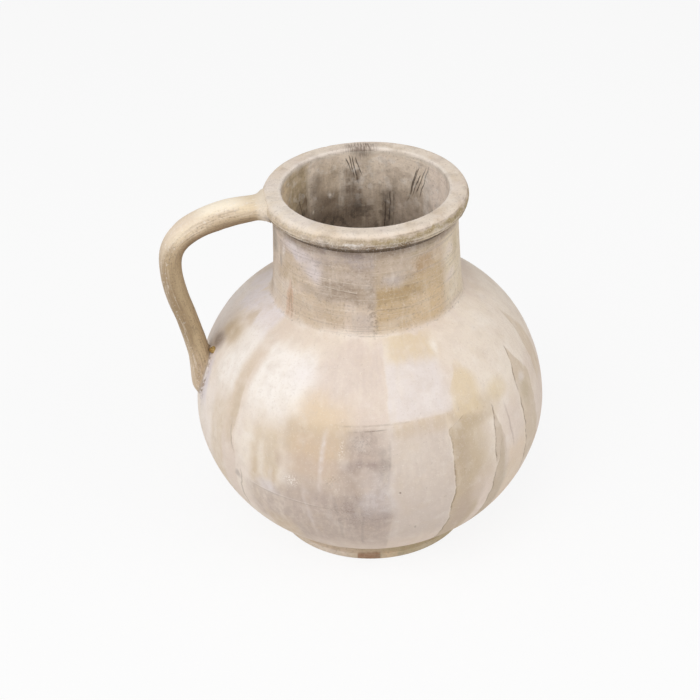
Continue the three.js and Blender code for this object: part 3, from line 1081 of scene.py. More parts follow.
def level_mask(turned, height, gaps, foot, slope, thin, wide, *numbers):
    """A thin line round the vase, partly broken up by gaps."""
    ends, (even, broken) = numbers[:4], numbers[4:]
    apart = (height - turned * slope - foot).size()
    return (1 - apart.step(thin, wide)) * between(turned, *ends) * (even + broken * gaps)


RISE = " low low_in high_in high"
TURNED = " left left_in right_in right"
BLOCK = mask_group("brushed_block", "turned risen bristles" + TURNED + RISE + " even dry", block_mask)
SPOT = mask_group("rounded_spot", "turned risen at height wide tall inner outer share", spot_mask)
RUN = mask_group(
    "run_of_paint",
    "turned risen left right half closed_from closed soft_left soft_right low low_in share",
    run_mask,
)
DRIED = mask_group(
    "dried_edge",
    "turned risen gaps left half closed_from closed low low_in high share",
    dried_mask,
)
UPRIGHT = mask_group("upright_line", "turned risen foot slope thin wide" + RISE + " share", upright_mask)
LEVEL = mask_group(
    "level_line",
    "turned height gaps foot slope thin wide" + TURNED + " even broken",
    level_mask,
)
EVERY_ANGLE = (-180, 540)
EVERY_HEIGHT = (-20, 320)
# A stroke may stand this far outside what a material covers: noise can bend it in
SPARE_DEGREES = 8
SPARE_HEIGHT = 12
# The share of a line's width that has its full colour
LINE_CORE = 0.3
# Degrees over which a level line fades at both ends
LEVEL_FADE = (2, 2)
# How far one seed of noise lies from the next
SEED_STEP = (7.3, 3.1, 5.7)
# The inputs of a mix node for the share, the colour below and the colour above, and its output
MIX_SHARE, MIX_BELOW, MIX_ABOVE = 0, 6, 7
MIX_RESULT = 2


def soft_edges(pair, soft):
    """Where a stroke starts and stops to fade in and to fade out, round two edges."""
    return (pair[0] - soft[0], pair[0] + soft[0], pair[1] - soft[1], pair[1] + soft[1])


def sloped(at, lean, ends):
    """A line's place at zero and its slope, from its place halfway between two ends and its lean."""
    slope = lean / (ends[1] - ends[0])
    return at - (ends[0] + ends[1]) / 2 * slope, slope


class Paint(Nodes):
    """A material for painted clay. Washes are laid one over another at angles and heights on the
    vase; noise bends their edges, as wet paint does. Strokes that miss the span of heights and
    the sector of angles that the material covers are left out."""

    def __init__(self, name, colour, span=EVERY_HEIGHT, sector=EVERY_ANGLE, bend=1.0):
        self.material = bpy.data.materials.new(name)
        self.material.use_nodes = True
        super().__init__(self.material.node_tree)
        self.shader = self.tree.nodes["Principled BSDF"]
        self.shader.inputs["Specular IOR Level"].default_value = 0.25
        self.colour = as_light(colour)
        self.span = span
        self.sector = sector
        self.within = None
        self.object_place = self.node("ShaderNodeTexCoord").outputs["Object"]
        self.x, self.y, self.z = (part * (1 / MM) for part in self.parted(self.object_place))
        self.radius = self.math("SQRT", self.x * self.x + self.y * self.y)
        self.angle = self.math("DEGREES", self.math("ARCTAN2", self.y * -1, self.x * -1))
        out = self.vector_math("NORMALIZE", self.joined(self.x, self.y, 0))
        on_girth = self.vector_math("MULTIPLY", out, (GIRTH_RADIUS, GIRTH_RADIUS, GIRTH_RADIUS))
        self.drawn = self.vector_math("ADD", on_girth, self.joined(0, 0, self.z))
        self.sway = (self.waver(80, 34, 1, 5) + self.waver(20, 9, 2, 1.6)) * bend
        lift = self.waver(30, 60, 3, 15) + self.waver(9, 14, 4, 7)
        self.risen = self.z + lift * bend * (self.z - SEAM).size().step(0, 16)
        self.face(-60)
        self.bristles = self.bristle_marks(3.6, 11, 5)
        self.gaps = self.brushed(6, 5, 2, 6).step(0.33, 0.6)

    def noise(self, vector, size, detail, seed):
        """Noise from 0 to 1 with cells of the given size, a length for each axis of the vector."""
        mapped = self.node("ShaderNodeMapping")
        self.feed(vector, mapped.inputs["Vector"])
        mapped.inputs["Scale"].default_value = tuple(1 / part for part in size)
        mapped.inputs["Location"].default_value = tuple(part * seed for part in SEED_STEP)
        node = self.node("ShaderNodeTexNoise")
        self.feed(mapped.outputs[0], node.inputs["Vector"])
        node.inputs["Scale"].default_value = 1
        node.inputs["Detail"].default_value = detail
        return Field(self, node.outputs[0])

    def cloud(self, size, detail, seed):
        """Patches of about one size in millimetres."""
        return self.noise(self.object_place, (size * MM, size * MM, size * MM), detail, seed)

    def brushed(self, around, up, detail, seed):
        """Noise drawn out round the vase or up it, with cells of those lengths at the girth."""
        return self.noise(self.drawn, (around, around, up), detail, seed)

    def waver(self, around, up, seed, reach):
        """A soft shift to either side, by half of the reach at most."""
        return (self.brushed(around, up, 2, seed) - 0.5) * reach

    def bristle_marks(self, around, up, seed):
        """Short marks of a dry brush, drawn out round the vase or up it."""
        marks = self.brushed(around, up, 3, seed) * 0.5 + self.cloud(4.5, 3, seed + 0.5) * 0.5
        return marks.step(0.37, 0.63)

    def face(self, first_angle):
        """Measures angles from that one, so that no patch is cut where a turn begins again."""
        self.turned = self.math("WRAP", self.angle, first_angle + 360, first_angle) + self.sway

    def lay(self, colour, share):
        """Covers what is there with a colour, by a share that varies over the surface."""
        if self.within is not None:
            share = self.within * share
        mixer = self.node("ShaderNodeMix", data_type="RGBA")
        self.feed(share, mixer.inputs[MIX_SHARE])
        self.feed(self.colour, mixer.inputs[MIX_BELOW])
        self.feed(as_light(colour), mixer.inputs[MIX_ABOVE])
        self.colour = mixer.outputs[MIX_RESULT]

    def mottle(self, colour, share, size, detail, seed, low, high):
        """Patches of about one size, where the noise rises from low to high."""
        self.lay(colour, self.cloud(size, detail, seed).step(low, high) * share)

    def streak(self, colour, share, around, up, detail, seed, low, high):
        """Patches drawn out round the vase or up it."""
        self.lay(colour, self.brushed(around, up, detail, seed).step(low, high) * share)

    def reaches(self, sides, rise):
        """Whether a stroke between two angles and two heights touches what this material covers."""
        if rise[1] < self.span[0] - SPARE_HEIGHT or rise[0] > self.span[1] + SPARE_HEIGHT:
            return False
        first, last = self.sector[0] - SPARE_DEGREES, self.sector[1] + SPARE_DEGREES
        return any(sides[1] + turns > first and sides[0] + turns < last for turns in (-360, 0, 360))

    def stroke(self, colour, group, sides, rise, *values):
        """Lays a colour by a mask, if the stroke reaches what this material covers."""
        if self.reaches(sides, rise):
            node = self.fed(self.node("ShaderNodeGroup", node_tree=group), self.turned, *values)
            self.lay(colour, Field(self, node.outputs[0]))

    def wash(self, colour, share, sides, rise, soft=(1.5, 1.5), ends=(5, 5), dry=0.6):
        """A brushed block of colour between two angles and two heights. Dry paint shows bristles."""
        edges = (*soft_edges(sides, soft), *soft_edges(rise, ends))
        shares = (share * (1 - dry / 2), share * dry)
        self.stroke(colour, BLOCK, sides, rise, self.risen, self.bristles, *edges, *shares)

    def spot(self, colour, share, at, size, soft=0.7):
        """A rounded patch round an angle and height, of half that size."""
        sides = (at[0] - size[0], at[0] + size[0])
        rise = (at[1] - size[1], at[1] + size[1])
        fade = (1 - soft, 1 + soft / 3)
        self.stroke(colour, SPOT, sides, rise, self.risen, *at, *size, *fade, share)

    def run(self, colour, share, sides, rise, point=14, soft=(0.25, 2), fade=10, line=0.5):
        """Paint that ran down: a pointed top, and a dark thin line where its left edge dried."""
        half = (sides[1] - sides[0]) / 2
        top = (rise[1] - point, rise[1])
        foot = (rise[0] - fade, rise[0] + fade)
        self.stroke(colour, RUN, sides, rise, self.risen, *sides, half, *top, *soft, *foot, share)
        dried = (self.risen, self.gaps, sides[0], half, *top, *foot, rise[1] - 3, line)
        self.stroke(DRIED_EDGE, DRIED, sides, rise, *dried)

    def speckled(self, size, seed, low=0.5, high=0.62):
        """Breaks up the strokes that follow into specks of about that size."""
        self.within = self.cloud(size, 3, seed).step(low, high)

    def upright(self, colour, share, at, rise, wide, lean=0, ends=4):
        """A thin line up the vase, leaning by some degrees from its foot to its top."""
        sides = (at - lean / 2, at + lean / 2)
        shape = (*sloped(at, lean, rise), wide * LINE_CORE, wide, *soft_edges(rise, (ends, ends)))
        self.stroke(colour, UPRIGHT, sides, rise, self.risen, *shape, share)

    def level(self, colour, share, height, sides, wide, tilt=0, broken=0.5):
        """A thin line round the vase, rising by a tilt from one side to the other."""
        shape = (*sloped(height, tilt, sides), wide * LINE_CORE, wide, *soft_edges(sides, LEVEL_FADE))
        shares = (share * (1 - broken), share * broken)
        self.stroke(colour, LEVEL, sides, (height, height), self.z, self.gaps, *shape, *shares)

    def grain(self, dark, light, amount):
        """Fine mottling, bristle lines and specks that all painted clay has."""
        self.mottle(dark, 0.22 * amount, 9, 3, 11, 0.48, 0.7)
        self.mottle(light, 0.22 * amount, 13, 3, 12, 0.52, 0.74)
        self.mottle(dark, 0.3 * amount, 1.7, 2, 13, 0.54, 0.74)
        self.mottle(light, 0.28 * amount, 1.3, 2, 14, 0.56, 0.76)
        self.mottle(UMBER, 0.4 * amount, 1.1, 1, 15, 0.74, 0.82)

    def finish(self, roughness, bump, depth):
        """Joins the colour, roughness and bump to the shader and gives the material."""
        self.feed(self.colour, self.shader.inputs["Base Color"])
        self.feed(roughness, self.shader.inputs["Roughness"])
        node = self.node("ShaderNodeBump")
        node.inputs["Distance"].default_value = depth * MM
        self.feed(bump, node.inputs["Height"])
        self.tree.links.new(node.outputs["Normal"], self.shader.inputs["Normal"])
        return self.material


# Cells of the marks that a dry brush scrubbed by the lip, in metres
HATCH_CELL = (0.0012, 0.012, 0.012)


def hatch(paint):
    """A share from 0.35 to 0.95 that breaks a stroke up into short marks along the handle's line."""
    return paint.noise(paint.object_place, HATCH_CELL, 3, 66).step(0.42, 0.56) * 0.6 + 0.35


def clay_bump(paint):
    """Grain, faint bristle lines and a few pits."""
    pits = paint.cloud(2.4, 1, 21).step(0.72, 0.8)
    return paint.cloud(1.4, 3, 22) * 0.6 + paint.bristles * 0.3 + paint.cloud(6, 2, 23) * 0.8 - pits * 0.7


def paint_left(paint):
    """The side by the handle: cream and tan bands that run down from the shoulder."""
    paint.wash((236, 225, 214), 0.7, (-10, 25), (100, 205), (6, 2), (20, 4), dry=0.2)
    paint.wash((234, 225, 224), 0.9, (-30, 26), (199, 213), (5, 3), (4, 2), dry=0.2)
    paint.wash(TAN, 0.45, (17, 26), (62, 150), (1.5, 1), (14, 8))
    paint.wash(WARM_WHITE, 0.75, (14, 27), (162, 202), (3, 2), (12, 6), dry=0.2)
    paint.wash(TAN, 0.45, (26, 31.5), (122, 192), (2, 0.5), (8, 14), dry=0.3)
    paint.wash(KHAKI, 0.3, (28.5, 31.8), (124, 172), (1.2, 0.3), (5, 5), dry=0.3)
    paint.wash(PINK, 0.5, (25.5, 33), (60, 132), (1, 0.5), (10, 6), dry=0.3)
    paint.wash(WARM_WHITE, 0.2, (33, 40.5), (56, 160), (0.5, 1), (10, 6), dry=0.3)
    paint.wash(TAN, 0.9, (41, 51.5), (104, 154), (2, 1.5), (9, 10), dry=0.4)
    paint.wash(KHAKI, 0.4, (47, 52.5), (120, 142), (2, 0.5), (5, 8))
    paint.wash(WARM_WHITE, 0.35, (44, 46.5), (108, 142), (1, 0.8), (6, 6))
    paint.wash(TAUPE, 0.55, (38, 54), (62, 101), (3, 2), (6, 3))
    paint.upright(DRIED_EDGE, 0.4, 34.6, (62, 104), 0.5, 2.5)
    paint.upright(DRIED_EDGE, 0.4, 31.2, (122, 142), 0.5, -2)
    paint.spot(GREY, 0.5, (33.8, 99), (1.6, 4))
    paint.upright(LILAC, 0.8, 8.5, (128, 166), 2.2, -2.5)
    paint.spot(LILAC, 0.9, (48, 102), (5, 8))
    paint.spot(TAN, 0.7, (10, 201), (5.5, 4.5))
    paint.spot(TAN, 0.5, (7, 190), (13, 11), 1)
    paint.spot(KHAKI, 0.75, (6, 187), (9, 8), 0.7)
    paint.spot((148, 130, 116), 0.85, (2.5, 176), (6.5, 8), 0.7)
    paint.wash((240, 228, 220), 0.4, (9, 18), (92, 156), (2, 2), (10, 8), dry=0.3)
    paint.spot((214, 204, 206), 0.8, (6, 148), (4, 26), 0.6)
    paint.speckled(2.2, 50)
    paint.spot((132, 118, 112), 0.8, (4.5, 146), (3, 26), 0.6)
    paint.within = None
    paint.spot(LILAC, 0.5, (-14, 180), (14, 26))


def paint_front(paint):
    """The side that faces the camera: a broad scrubbed block below pale patches."""
    paint.wash(CREAM, 0.3, (36, 54), (120, 168), (2, 2), (10, 6), dry=0.2)
    paint.wash(WARM_WHITE, 0.9, (34, 58), (162, 202), (2, 3.5), (14, 5), dry=0.1)
    paint.wash(PINK, 0.7, (61, 88), (164, 209), (3, 0.8), (3, 3), dry=0.4)
    paint.spot((238, 230, 228), 0.5, (55, 191), (9, 12), 1)
    paint.wash(CREAM, 0.35, (38, 66), (200, 212), (6, 6), (3, 3), dry=0.4)
    paint.wash((216, 200, 190), 0.35, (62, 87), (184, 204), (4, 2), (4, 3), dry=1)
    paint.wash(LILAC, 0.8, (88, 111), (166, 199), (0.6, 4), (3, 4), dry=0.1)
    paint.wash(TAUPE, 0.75, (53, 88), (36, 112), (3.5, 1), (14, 14), dry=0.3)
    paint.wash(TAUPE, 0.9, (56, 86), (98, 163), (5, 4), (14, 5), dry=0.3)
    paint.wash(TAN, 0.7, (54, 74), (139, 165), (3, 4), (5, 5), dry=0.3)
    paint.spot(TAN, 0.5, (55, 150), (7, 17), 0.9)
    paint.spot((225, 202, 171), 0.8, (65, 170), (12, 14), 0.9)
    paint.wash((217, 190, 162), 0.45, (56, 72), (124, 156), (4, 4), (6, 6), dry=0.3)
    paint.spot(RUST, 0.35, (52.5, 133), (1.8, 9), 0.9)
    paint.wash((209, 194, 183), 0.85, (88, 108), (52, 112), (0.4, 0.4), (14, 10), dry=0.1)
    paint.wash((209, 194, 182), 0.85, (85, 108), (104, 164), (4, 0.4), (10, 3), dry=0.3)
    paint.spot((226, 214, 202), 0.4, (95, 142), (8, 12), 1)
    paint.wash((228, 210, 196), 0.8, (88, 108), (20, 54), (0.5, 0.4), (6, 14), dry=0.1)
    paint.wash((166, 149, 141), 0.7, (74, 88), (82, 139), (3, 2), (14, 4), dry=0.5)
    paint.wash((176, 158, 150), 0.25, (44, 86), (56, 108), (5, 2), (14, 5), dry=0.8)
    paint.wash(TAN, 0.45, (89, 112), (156, 166), (1, 3), (5, 1), dry=0.7)
    paint.wash((224, 206, 192), 0.6, (56, 88), (16, 50), (4, 2), (6, 12), dry=0.3)
    paint.wash(TAN, 0.65, (43, 54), (42, 70), (2, 2), (6, 8))
    paint.wash(LILAC, 0.5, (66.3, 67.7), (112, 158), (0.6, 0.8), (6, 8), dry=1)
    paint.wash(LILAC, 0.25, (61, 62.4), (62, 120), (0.5, 0.6), (6, 8), dry=1)
    paint.wash(LILAC, 0.35, (48.5, 50), (98, 122), (0.5, 0.5), (5, 5), dry=0.6)
    paint.speckled(1.3, 49)
    paint.spot(WARM_WHITE, 0.9, (57.5, 116.5), (3.6, 5.5))
    paint.spot(WARM_WHITE, 0.6, (72, 121), (1.6, 6))
    paint.spot(WARM_WHITE, 0.5, (72.5, 148), (1.2, 9))
    paint.spot(UMBER, 0.5, (71, 124), (3, 6))
    paint.spot(UMBER, 0.4, (79, 152), (5, 9))
    paint.spot(UMBER, 0.35, (86, 124), (2.4, 18))
    paint.spot(UMBER, 0.2, (76, 92), (12, 20))
    paint.within = None
    paint.upright(GREY, 0.25, 78.5, (52, 100), 0.6, 0.4)
    paint.upright(GREY, 0.3, 71.5, (60, 108), 0.8, -0.5)
    paint.wash(GREY, 0.2, (74, 85), (145, 162), (2, 2), (4, 1.5), dry=0.7)
    paint.wash(GREY, 0.4, (84, 88), (118, 150), (1.5, 0.4), (5, 6), dry=0.8)
    paint.wash(LILAC, 0.4, (79, 89), (92, 128), (2, 2), (8, 8), dry=0.8)
    paint.wash((212, 192, 172), 0.3, (56, 84), (112, 132), (6, 5), (5, 5), dry=0.6)
    paint.level(DRIED_EDGE, 0.3, 165, (72, 94), 0.9, 1.2, 0.7)
    paint.level(UMBER, 0.5, 161.3, (75, 86), 0.6, 1.4, 0.9)
    paint.level(DRIED_EDGE, 0.25, 97, (42, 78), 0.8, -4)
    paint.level(LILAC, 0.35, 99, (40, 66), 0.7, -4)
    paint.spot(UMBER, 0.7, (91, 110), (0.4, 1.2), 0.5)
    paint.spot(UMBER, 0.5, (96, 71), (0.4, 2), 0.5)
    # Painted highlight: a pale line round the bowl just above the foot.
    paint.level(CREAM, 0.6, FOOT_TOP + 2.2, (20, 150), 1.4, 0, 0.3)


def paint_right(paint):
    """The side away from the handle: paint that ran down and dried with sharp edges."""
    paint.wash(CREAM, 0.5, (114, 175), (165, 208), (6, 6), (4, 3), dry=0.2)
    paint.wash((222, 202, 168), 0.6, (90, 114), (197, 210), (5, 6), (4, 1), dry=0.4)
    paint.wash(KHAKI, 0.5, (108.5, 128), (150, 168), (1.5, 5), (4, 5), dry=0.4)
    paint.run((221, 200, 166), 0.75, (111.5, 124), (158, 192), 12, (1, 3), 6, 0)
    paint.run((194, 174, 146), 0.85, (108.3, 121), (26, 162), 8, (0.15, 5.5), 10, 0.75)
    paint.spot((176, 156, 134), 0.45, (111.5, 132), (3.6, 30), 0.8)
    paint.spot((196, 176, 162), 0.6, (113, 70), (5, 34), 0.8)
    paint.spot(PINK, 0.6, (118.5, 97), (4.5, 20))
    paint.spot((230, 213, 200), 0.85, (121.5, 68), (3, 40), 0.6)
    paint.run((190, 172, 148), 0.75, (124, 131), (30, 134), 40, (0.15, 2.4), 8, 0.5)
    paint.run((196, 178, 158), 0.7, (124.4, 129.4), (112, 160), 34, (0.2, 0.3), 6, 0.7)
    paint.wash(PINK, 0.45, (128.5, 141), (98, 152), (0.5, 0.5), (8, 6), dry=0.2)
    paint.upright(TAUPE, 0.6, 133, (118, 152), 0.6, -1)
    paint.wash(PEACH, 0.4, (131, 142), (52, 116), (1.5, 0.5), (8, 8), dry=0.3)
    paint.spot((220, 200, 166), 0.7, (132, 165), (6, 9))
    paint.run((208, 190, 168), 0.85, (142, 152.5), (84, 182), 26, (0.15, 0.4), 12, 0.8)
    paint.spot(OLIVE, 0.35, (146.5, 146), (4, 12))
    paint.spot(LILAC, 0.5, (147, 158), (2.5, 5))
    paint.run(TAN, 0.6, (159.5, 168.5), (140, 199), 30, (0.6, 1.4), 10, 0.2)
    paint.wash(PINK, 0.5, (152, 164), (70, 140), (1.5, 2), (12, 8), dry=0.3)
    paint.spot(WARM_WHITE, 0.6, (113.5, 202), (2.6, 4.5), 1)


def paint_back(paint):
    """The hidden side, in the same manner: pale patches above, runs and dry bands below."""
    paint.wash(CREAM, 0.6, (176, 214), (150, 204), (3, 1), (8, 4), dry=0.2)
    paint.run(KHAKI, 0.6, (181, 189), (40, 168), 18, (0.25, 3), 12, 0.6)
    paint.wash(TAUPE, 0.55, (196, 226), (34, 152), (2, 0.5), (12, 5))
    paint.run(TAN, 0.7, (206, 214), (96, 188), 24, (0.3, 1.5), 12, 0.4)
    paint.wash(LILAC, 0.6, (226, 247), (120, 199), (0.4, 2), (8, 4), dry=0.3)
    paint.run(KHAKI, 0.6, (247, 257), (30, 150), 14, (0.25, 3), 10, 0.6)
    paint.wash(WARM_WHITE, 0.5, (256, 274), (140, 200), (2, 0.6), (10, 4), dry=0.2)
    paint.wash(TAN, 0.5, (262, 288), (42, 140), (3, 1), (12, 8))
    paint.run(TAUPE, 0.6, (274, 283), (80, 176), 22, (0.25, 1), 12, 0.6)
    paint.wash(PINK, 0.55, (284, 299), (30, 190), (1, 1), (14, 6))
    paint.face(60)
    paint.wash(TAN, 0.5, (299, 312), (60, 158), (0.4, 1), (12, 8))
    paint.run(KHAKI, 0.5, (318, 326), (44, 172), 20, (0.25, 2), 12, 0.5)
    paint.wash(WARM_WHITE, 0.5, (326, 343), (110, 198), (2, 2), (12, 5), dry=0.3)
    paint.wash(TAUPE, 0.4, (338, 352), (40, 130), (1.5, 2), (12, 8))
    paint.face(-60)


def paint_neck(paint):
    """The neck: khaki and grey brushed round it, rubbed thin in places, with painted shade below the rim.
    """
    if paint.span[1] < RIM_BASE - 1:
        return
    body_bristles = paint.bristles
    paint.bristles = paint.bristle_marks(46, 2.4, 35)
    ragged = paint.z + (paint.cloud(20, 1, 38) - 0.5) * 7
    paint.within = ragged.step(NECK_BASE - 0.5, NECK_BASE + 8) * paint.z.step(NECK_BASE, NECK_BASE + 2.5)
    paint.lay((206, 187, 168), 0.9)
    paint.mottle(PINK, 0.4, 24, 3, 32, 0.46, 0.66)
    paint.streak(KHAKI, 0.35, 60, 12, 3, 31, 0.46, 0.66)
    paint.wash((198, 173, 138), 0.9, (86, 137), (211, 263), (2.4, 6), (1, 7), dry=0.3)
    paint.wash((176, 150, 112), 0.85, (86, 116), (237, 250), (1.5, 5), (3, 3), dry=0.4)
    paint.wash((220, 194, 158), 0.5, (108, 134), (214, 238), (4, 4), (4, 4), dry=0.3)
    paint.wash((184, 167, 152), 0.75, (52, 87), (236, 279), (4, 1.6), (4, 3), dry=0.5)
    paint.wash((164, 145, 126), 0.65, (54, 86), (238, 253), (4, 2), (4, 3))
    paint.wash((176, 163, 160), 0.5, (28, 88), (266, 279), (6, 3), (3, 2), dry=1)
    paint.wash((168, 148, 128), 0.4, (58, 84), (258, 269), (6, 2), (3, 3), dry=0.6)
    paint.wash((226, 210, 184), 0.8, (136, 168), (214, 277), (4, 4), (5, 4), dry=0.3)
    paint.wash((194, 172, 144), 0.6, (50, 68), (212, 237), (2, 1), (3, 2), dry=0.3)
    paint.wash((192, 178, 168), 0.55, (72, 84), (209, 229), (0.8, 2.5), (2, 4), dry=0.4)
    paint.wash(TAN, 0.35, (26, 50), (213, 242), (2, 3), (3, 6))
    paint.wash(KHAKI, 0.4, (14, 34), (240, 262), (3, 3), (4, 4))
    paint.wash(CREAM, 0.35, (2, 26), (211, 238), (3, 1), (2, 6), dry=0.3)
    paint.wash((184, 165, 144), 0.8, (85.5, 112), (251, 281), (2, 4), (4, 3))
    paint.spot((180, 152, 120), 0.85, (118, 262), (9, 9))
    paint.spot(OLIVE, 0.4, (118, 274), (14, 5))
    paint.spot((166, 154, 140), 0.85, (6, 264), (7, 15))
    paint.spot(PEARL, 0.85, (48, 260), (8, 10))
    paint.spot(PEARL, 0.85, (34, 270), (18, 8))
    paint.spot((178, 162, 148), 0.5, (19, 264), (7, 11), 0.9)
    paint.spot(LILAC, 0.6, (21, 262), (2.5, 5))
    paint.spot((132, 116, 108), 0.7, (17, 253), (1.8, 5))
    paint.spot((194, 182, 178), 0.6, (98, 257), (9, 6), 0.9)
    paint.spot(BLUSH, 0.7, (143, 239), (7, 7))
    paint.spot(BLUSH, 0.6, (144, 262), (7, 7))
    paint.spot((196, 178, 140), 0.5, (151, 264), (6, 14))
    paint.run((208, 172, 146), 0.5, (25, 32), (200, 250), 24, (0.8, 0.4), 6, 0)
    paint.upright(RUST, 0.4, 28.6, (212, 244), 1, 1.5)
    paint.upright(DRIED_EDGE, 0.55, 30.8, (206, 232), 0.6, -2)
    paint.speckled(2.6, 39, 0.44, 0.62)
    paint.spot(DUST, 0.5, (83, 244), (4, 22), 0.8)
    paint.spot(DUST, 0.7, (85, 222), (2.6, 14), 0.8)
    paint.spot(DUST, 0.4, (66, 248), (14, 5), 0.8)
    paint.within = paint.z.step(NECK_BASE, NECK_BASE + 1.2)
    paint.level(DRIED_EDGE, 0.5, 231, (87, 108), 0.6, -1)
    paint.level(UMBER, 0.3, 214.6, (70, 92), 0.5, 0.6)
    paint.level(UMBER, 0.35, 211, (76, 90), 0.5, -0.5)
    paint.level(CREAM, 0.35, 247.6, (48, 78), 0.6, -4, 0.9)
    paint.level(UMBER, 0.6, 246.8, (50, 78), 0.6, -4.5, 0.8)
    paint.level(UMBER, 0.35, 251.6, (42, 74), 0.5, -6, 0.9)
    paint.level(CREAM, 0.4, 254, (52, 84), 0.5, -3, 0.9)
    paint.spot(GREY, 0.35, (46, 243), (9, 5))
    paint.streak(GREY, 0.35, 120, 1.6, 3, 33, 0.52, 0.72)
    paint.streak(CREAM, 0.3, 90, 1.3, 3, 34, 0.56, 0.75)
    paint.mottle(UMBER, 0.3, 1.8, 3, 37, 0.54, 0.7)
    # Painted shade: the top of the neck darkens under the rim's overhang.
    paint.lay(UMBER, paint.z.step(RIM_BASE - 8, RIM_BASE) * 0.65)
    paint.within = None
    paint.bristles = body_bristles


def body_material(piece, span, sector):
    """Cream washes over buff clay. Each turned piece gets the strokes that reach it."""
    paint = Paint("washed_" + piece, (226, 210, 195), span, sector)
    paint.mottle(CREAM, 0.6, 70, 2, 41, 0.42, 0.62)
    paint.mottle(TAN, 0.35, 38, 3, 42, 0.5, 0.7)
    paint.streak(PINK, 0.4, 26, 70, 3, 43, 0.48, 0.68)
    paint.mottle(WARM_WHITE, 0.35, 24, 3, 44, 0.54, 0.72)
    paint_back(paint)
    paint_left(paint)
    paint_right(paint)
    paint_front(paint)
    paint_neck(paint)
    paint.mottle(TAN, 0.16, 17, 4, 45, 0.52, 0.7)
    paint.mottle(PINK, 0.2, 11, 4, 46, 0.54, 0.72)
    paint.streak(CREAM, 0.2, 10, 26, 3, 48, 0.54, 0.72)
    paint.grain((204, 188, 174), WARM_WHITE, 0.8)
    return paint.finish(paint.cloud(18, 3, 47) * 0.3 + 0.6, clay_bump(paint), 0.35)


def paint_inside(paint):
    """The wall inside the neck: dark wash scrubbed on with a dry brush, paler towards the lip."""
    paint.face(90)
    dark = (96, 80, 66)
    depth = paint.risen.step(282, 228)
    paint.lay((158, 140, 122), depth * 0.9)
    paint.lay(SOOT_AND_SHADOW, paint.risen.step(240, 190) * 0.5)
    paint.wash((242, 218, 180), 0.75, (308, 410), (250, 299), (6, 20), (10, 6), dry=0.4)
    paint.wash((252, 234, 218), 0.85, (150, 206), (244, 300), (8, 8), (14, 4), dry=0.3)
    paint.mottle((176, 158, 140), 0.4, 15, 3, 56, 0.48, 0.64)
    paint.spot(dark, 0.75, (284, 243), (28, 15), 0.9)
    paint.spot(SOOT_AND_SHADOW, 0.4, (268, 245), (7, 14), 0.9)
    paint.spot(LILAC, 0.6, (205, 270), (7, 14))
    paint.spot(GREY, 0.6, (197, 276), (3.5, 6))
    paint.wash(WARM_WHITE, 0.55, (211, 216), (246, 282), (0.8, 1.5), (5, 5))
    paint.wash((236, 220, 200), 0.5, (254, 262), (250, 294), (1.5, 2), (10, 3))
    paint.wash((196, 176, 150), 0.5, (280, 297), (250, 290), (4, 4), (8, 8), dry=0.4)
    paint.wash(CREAM, 0.5, (277, 281), (246, 280), (1, 1), (6, 5))
    paint.wash(CREAM, 0.5, (303, 308), (256, 284), (1, 1), (6, 5))
    paint.wash(dark, 0.5, (265, 277), (256, 280), (1, 2), (5, 3), dry=0.8)
    paint.spot(dark, 0.6, (299, 270), (6.5, 13), 0.9)
    paint.spot(dark, 0.6, (290, 256), (12, 9), 0.9)
    paint.wash(FAWN, 0.5, (250, 254), (226, 262), (1, 1.5), (4, 8), dry=0.8)
    paint.wash(FAWN, 0.35, (262, 264.5), (226, 258), (0.8, 1), (4, 8), dry=1)
    paint.wash((178, 160, 128), 0.6, (306, 330), (256, 294), (3, 6), (10, 6), dry=0.5)
    paint.wash(dark, 0.6, (306, 320), (236, 268), (2.5, 4), (6, 10), dry=0.8)
    paint.wash(SOOT_AND_SHADOW, 0.45, (239, 249.5), (222, 260), (2, 2.5), (4, 5), dry=0.9)
    paint.wash(dark, 0.4, (222, 242), (224, 266), (4, 3), (6, 14), dry=1)
    for degrees, low, high, lean in (
        (226, 257, 284, -9),
        (224.5, 260, 285, -9),
        (222.5, 262, 280, -8),
        (241.5, 230, 258, -1.5),
        (244, 234, 260, -1.5),
        (247.5, 226, 252, -1),
        (266, 276, 289, 4),
        (268.5, 268, 289, 4),
        (271, 274, 290, 3),
        (273.5, 279, 289, 3),
        (314, 248, 264, 4),
        (218, 264, 288, -9),
        (215, 262, 290, -9),
    ):
        paint.upright(SOOT_AND_SHADOW, 0.85, degrees, (low, high), 0.65, lean, 2)
    streaks = paint.brushed(3, 26, 3, 58).step(0.52, 0.66) * paint.risen.step(268, 244)
    paint.lay(FAWN, streaks * paint.turned.step(298, 268) * 0.3)
    paint.lay(SOOT_AND_SHADOW, paint.cloud(6, 4, 59).step(0.5, 0.66) * paint.risen.step(264, 242) * 0.5)
    scrub = paint.bristle_marks(4, 18, 51)
    paint.lay((130, 112, 94), scrub * paint.risen.step(296, 258) * 0.3)
    paint.wash((254, 238, 224), 0.8, (160, 212), (250, 302), (6, 10), (10, 4), dry=0.4)
    paint.wash((226, 208, 190), 0.4, (222, 242), (232, 262), (4, 4), (8, 10), dry=0.8)
    paint.lay(WARM_WHITE, paint.cloud(7, 4, 52).step(0.52, 0.68) * paint.risen.step(236, 266) * 0.35)
    paint.lay(UMBER, paint.brushed(150, 2.2, 3, 53).step(0.52, 0.7) * paint.z.step(280, 288) * 0.16)
    for degrees, height in ((249, 278), (251, 266), (288, 260), (302, 250)):
        paint.spot(CREAM, 0.9, (degrees, height), (1.1, 1.8), 0.9)


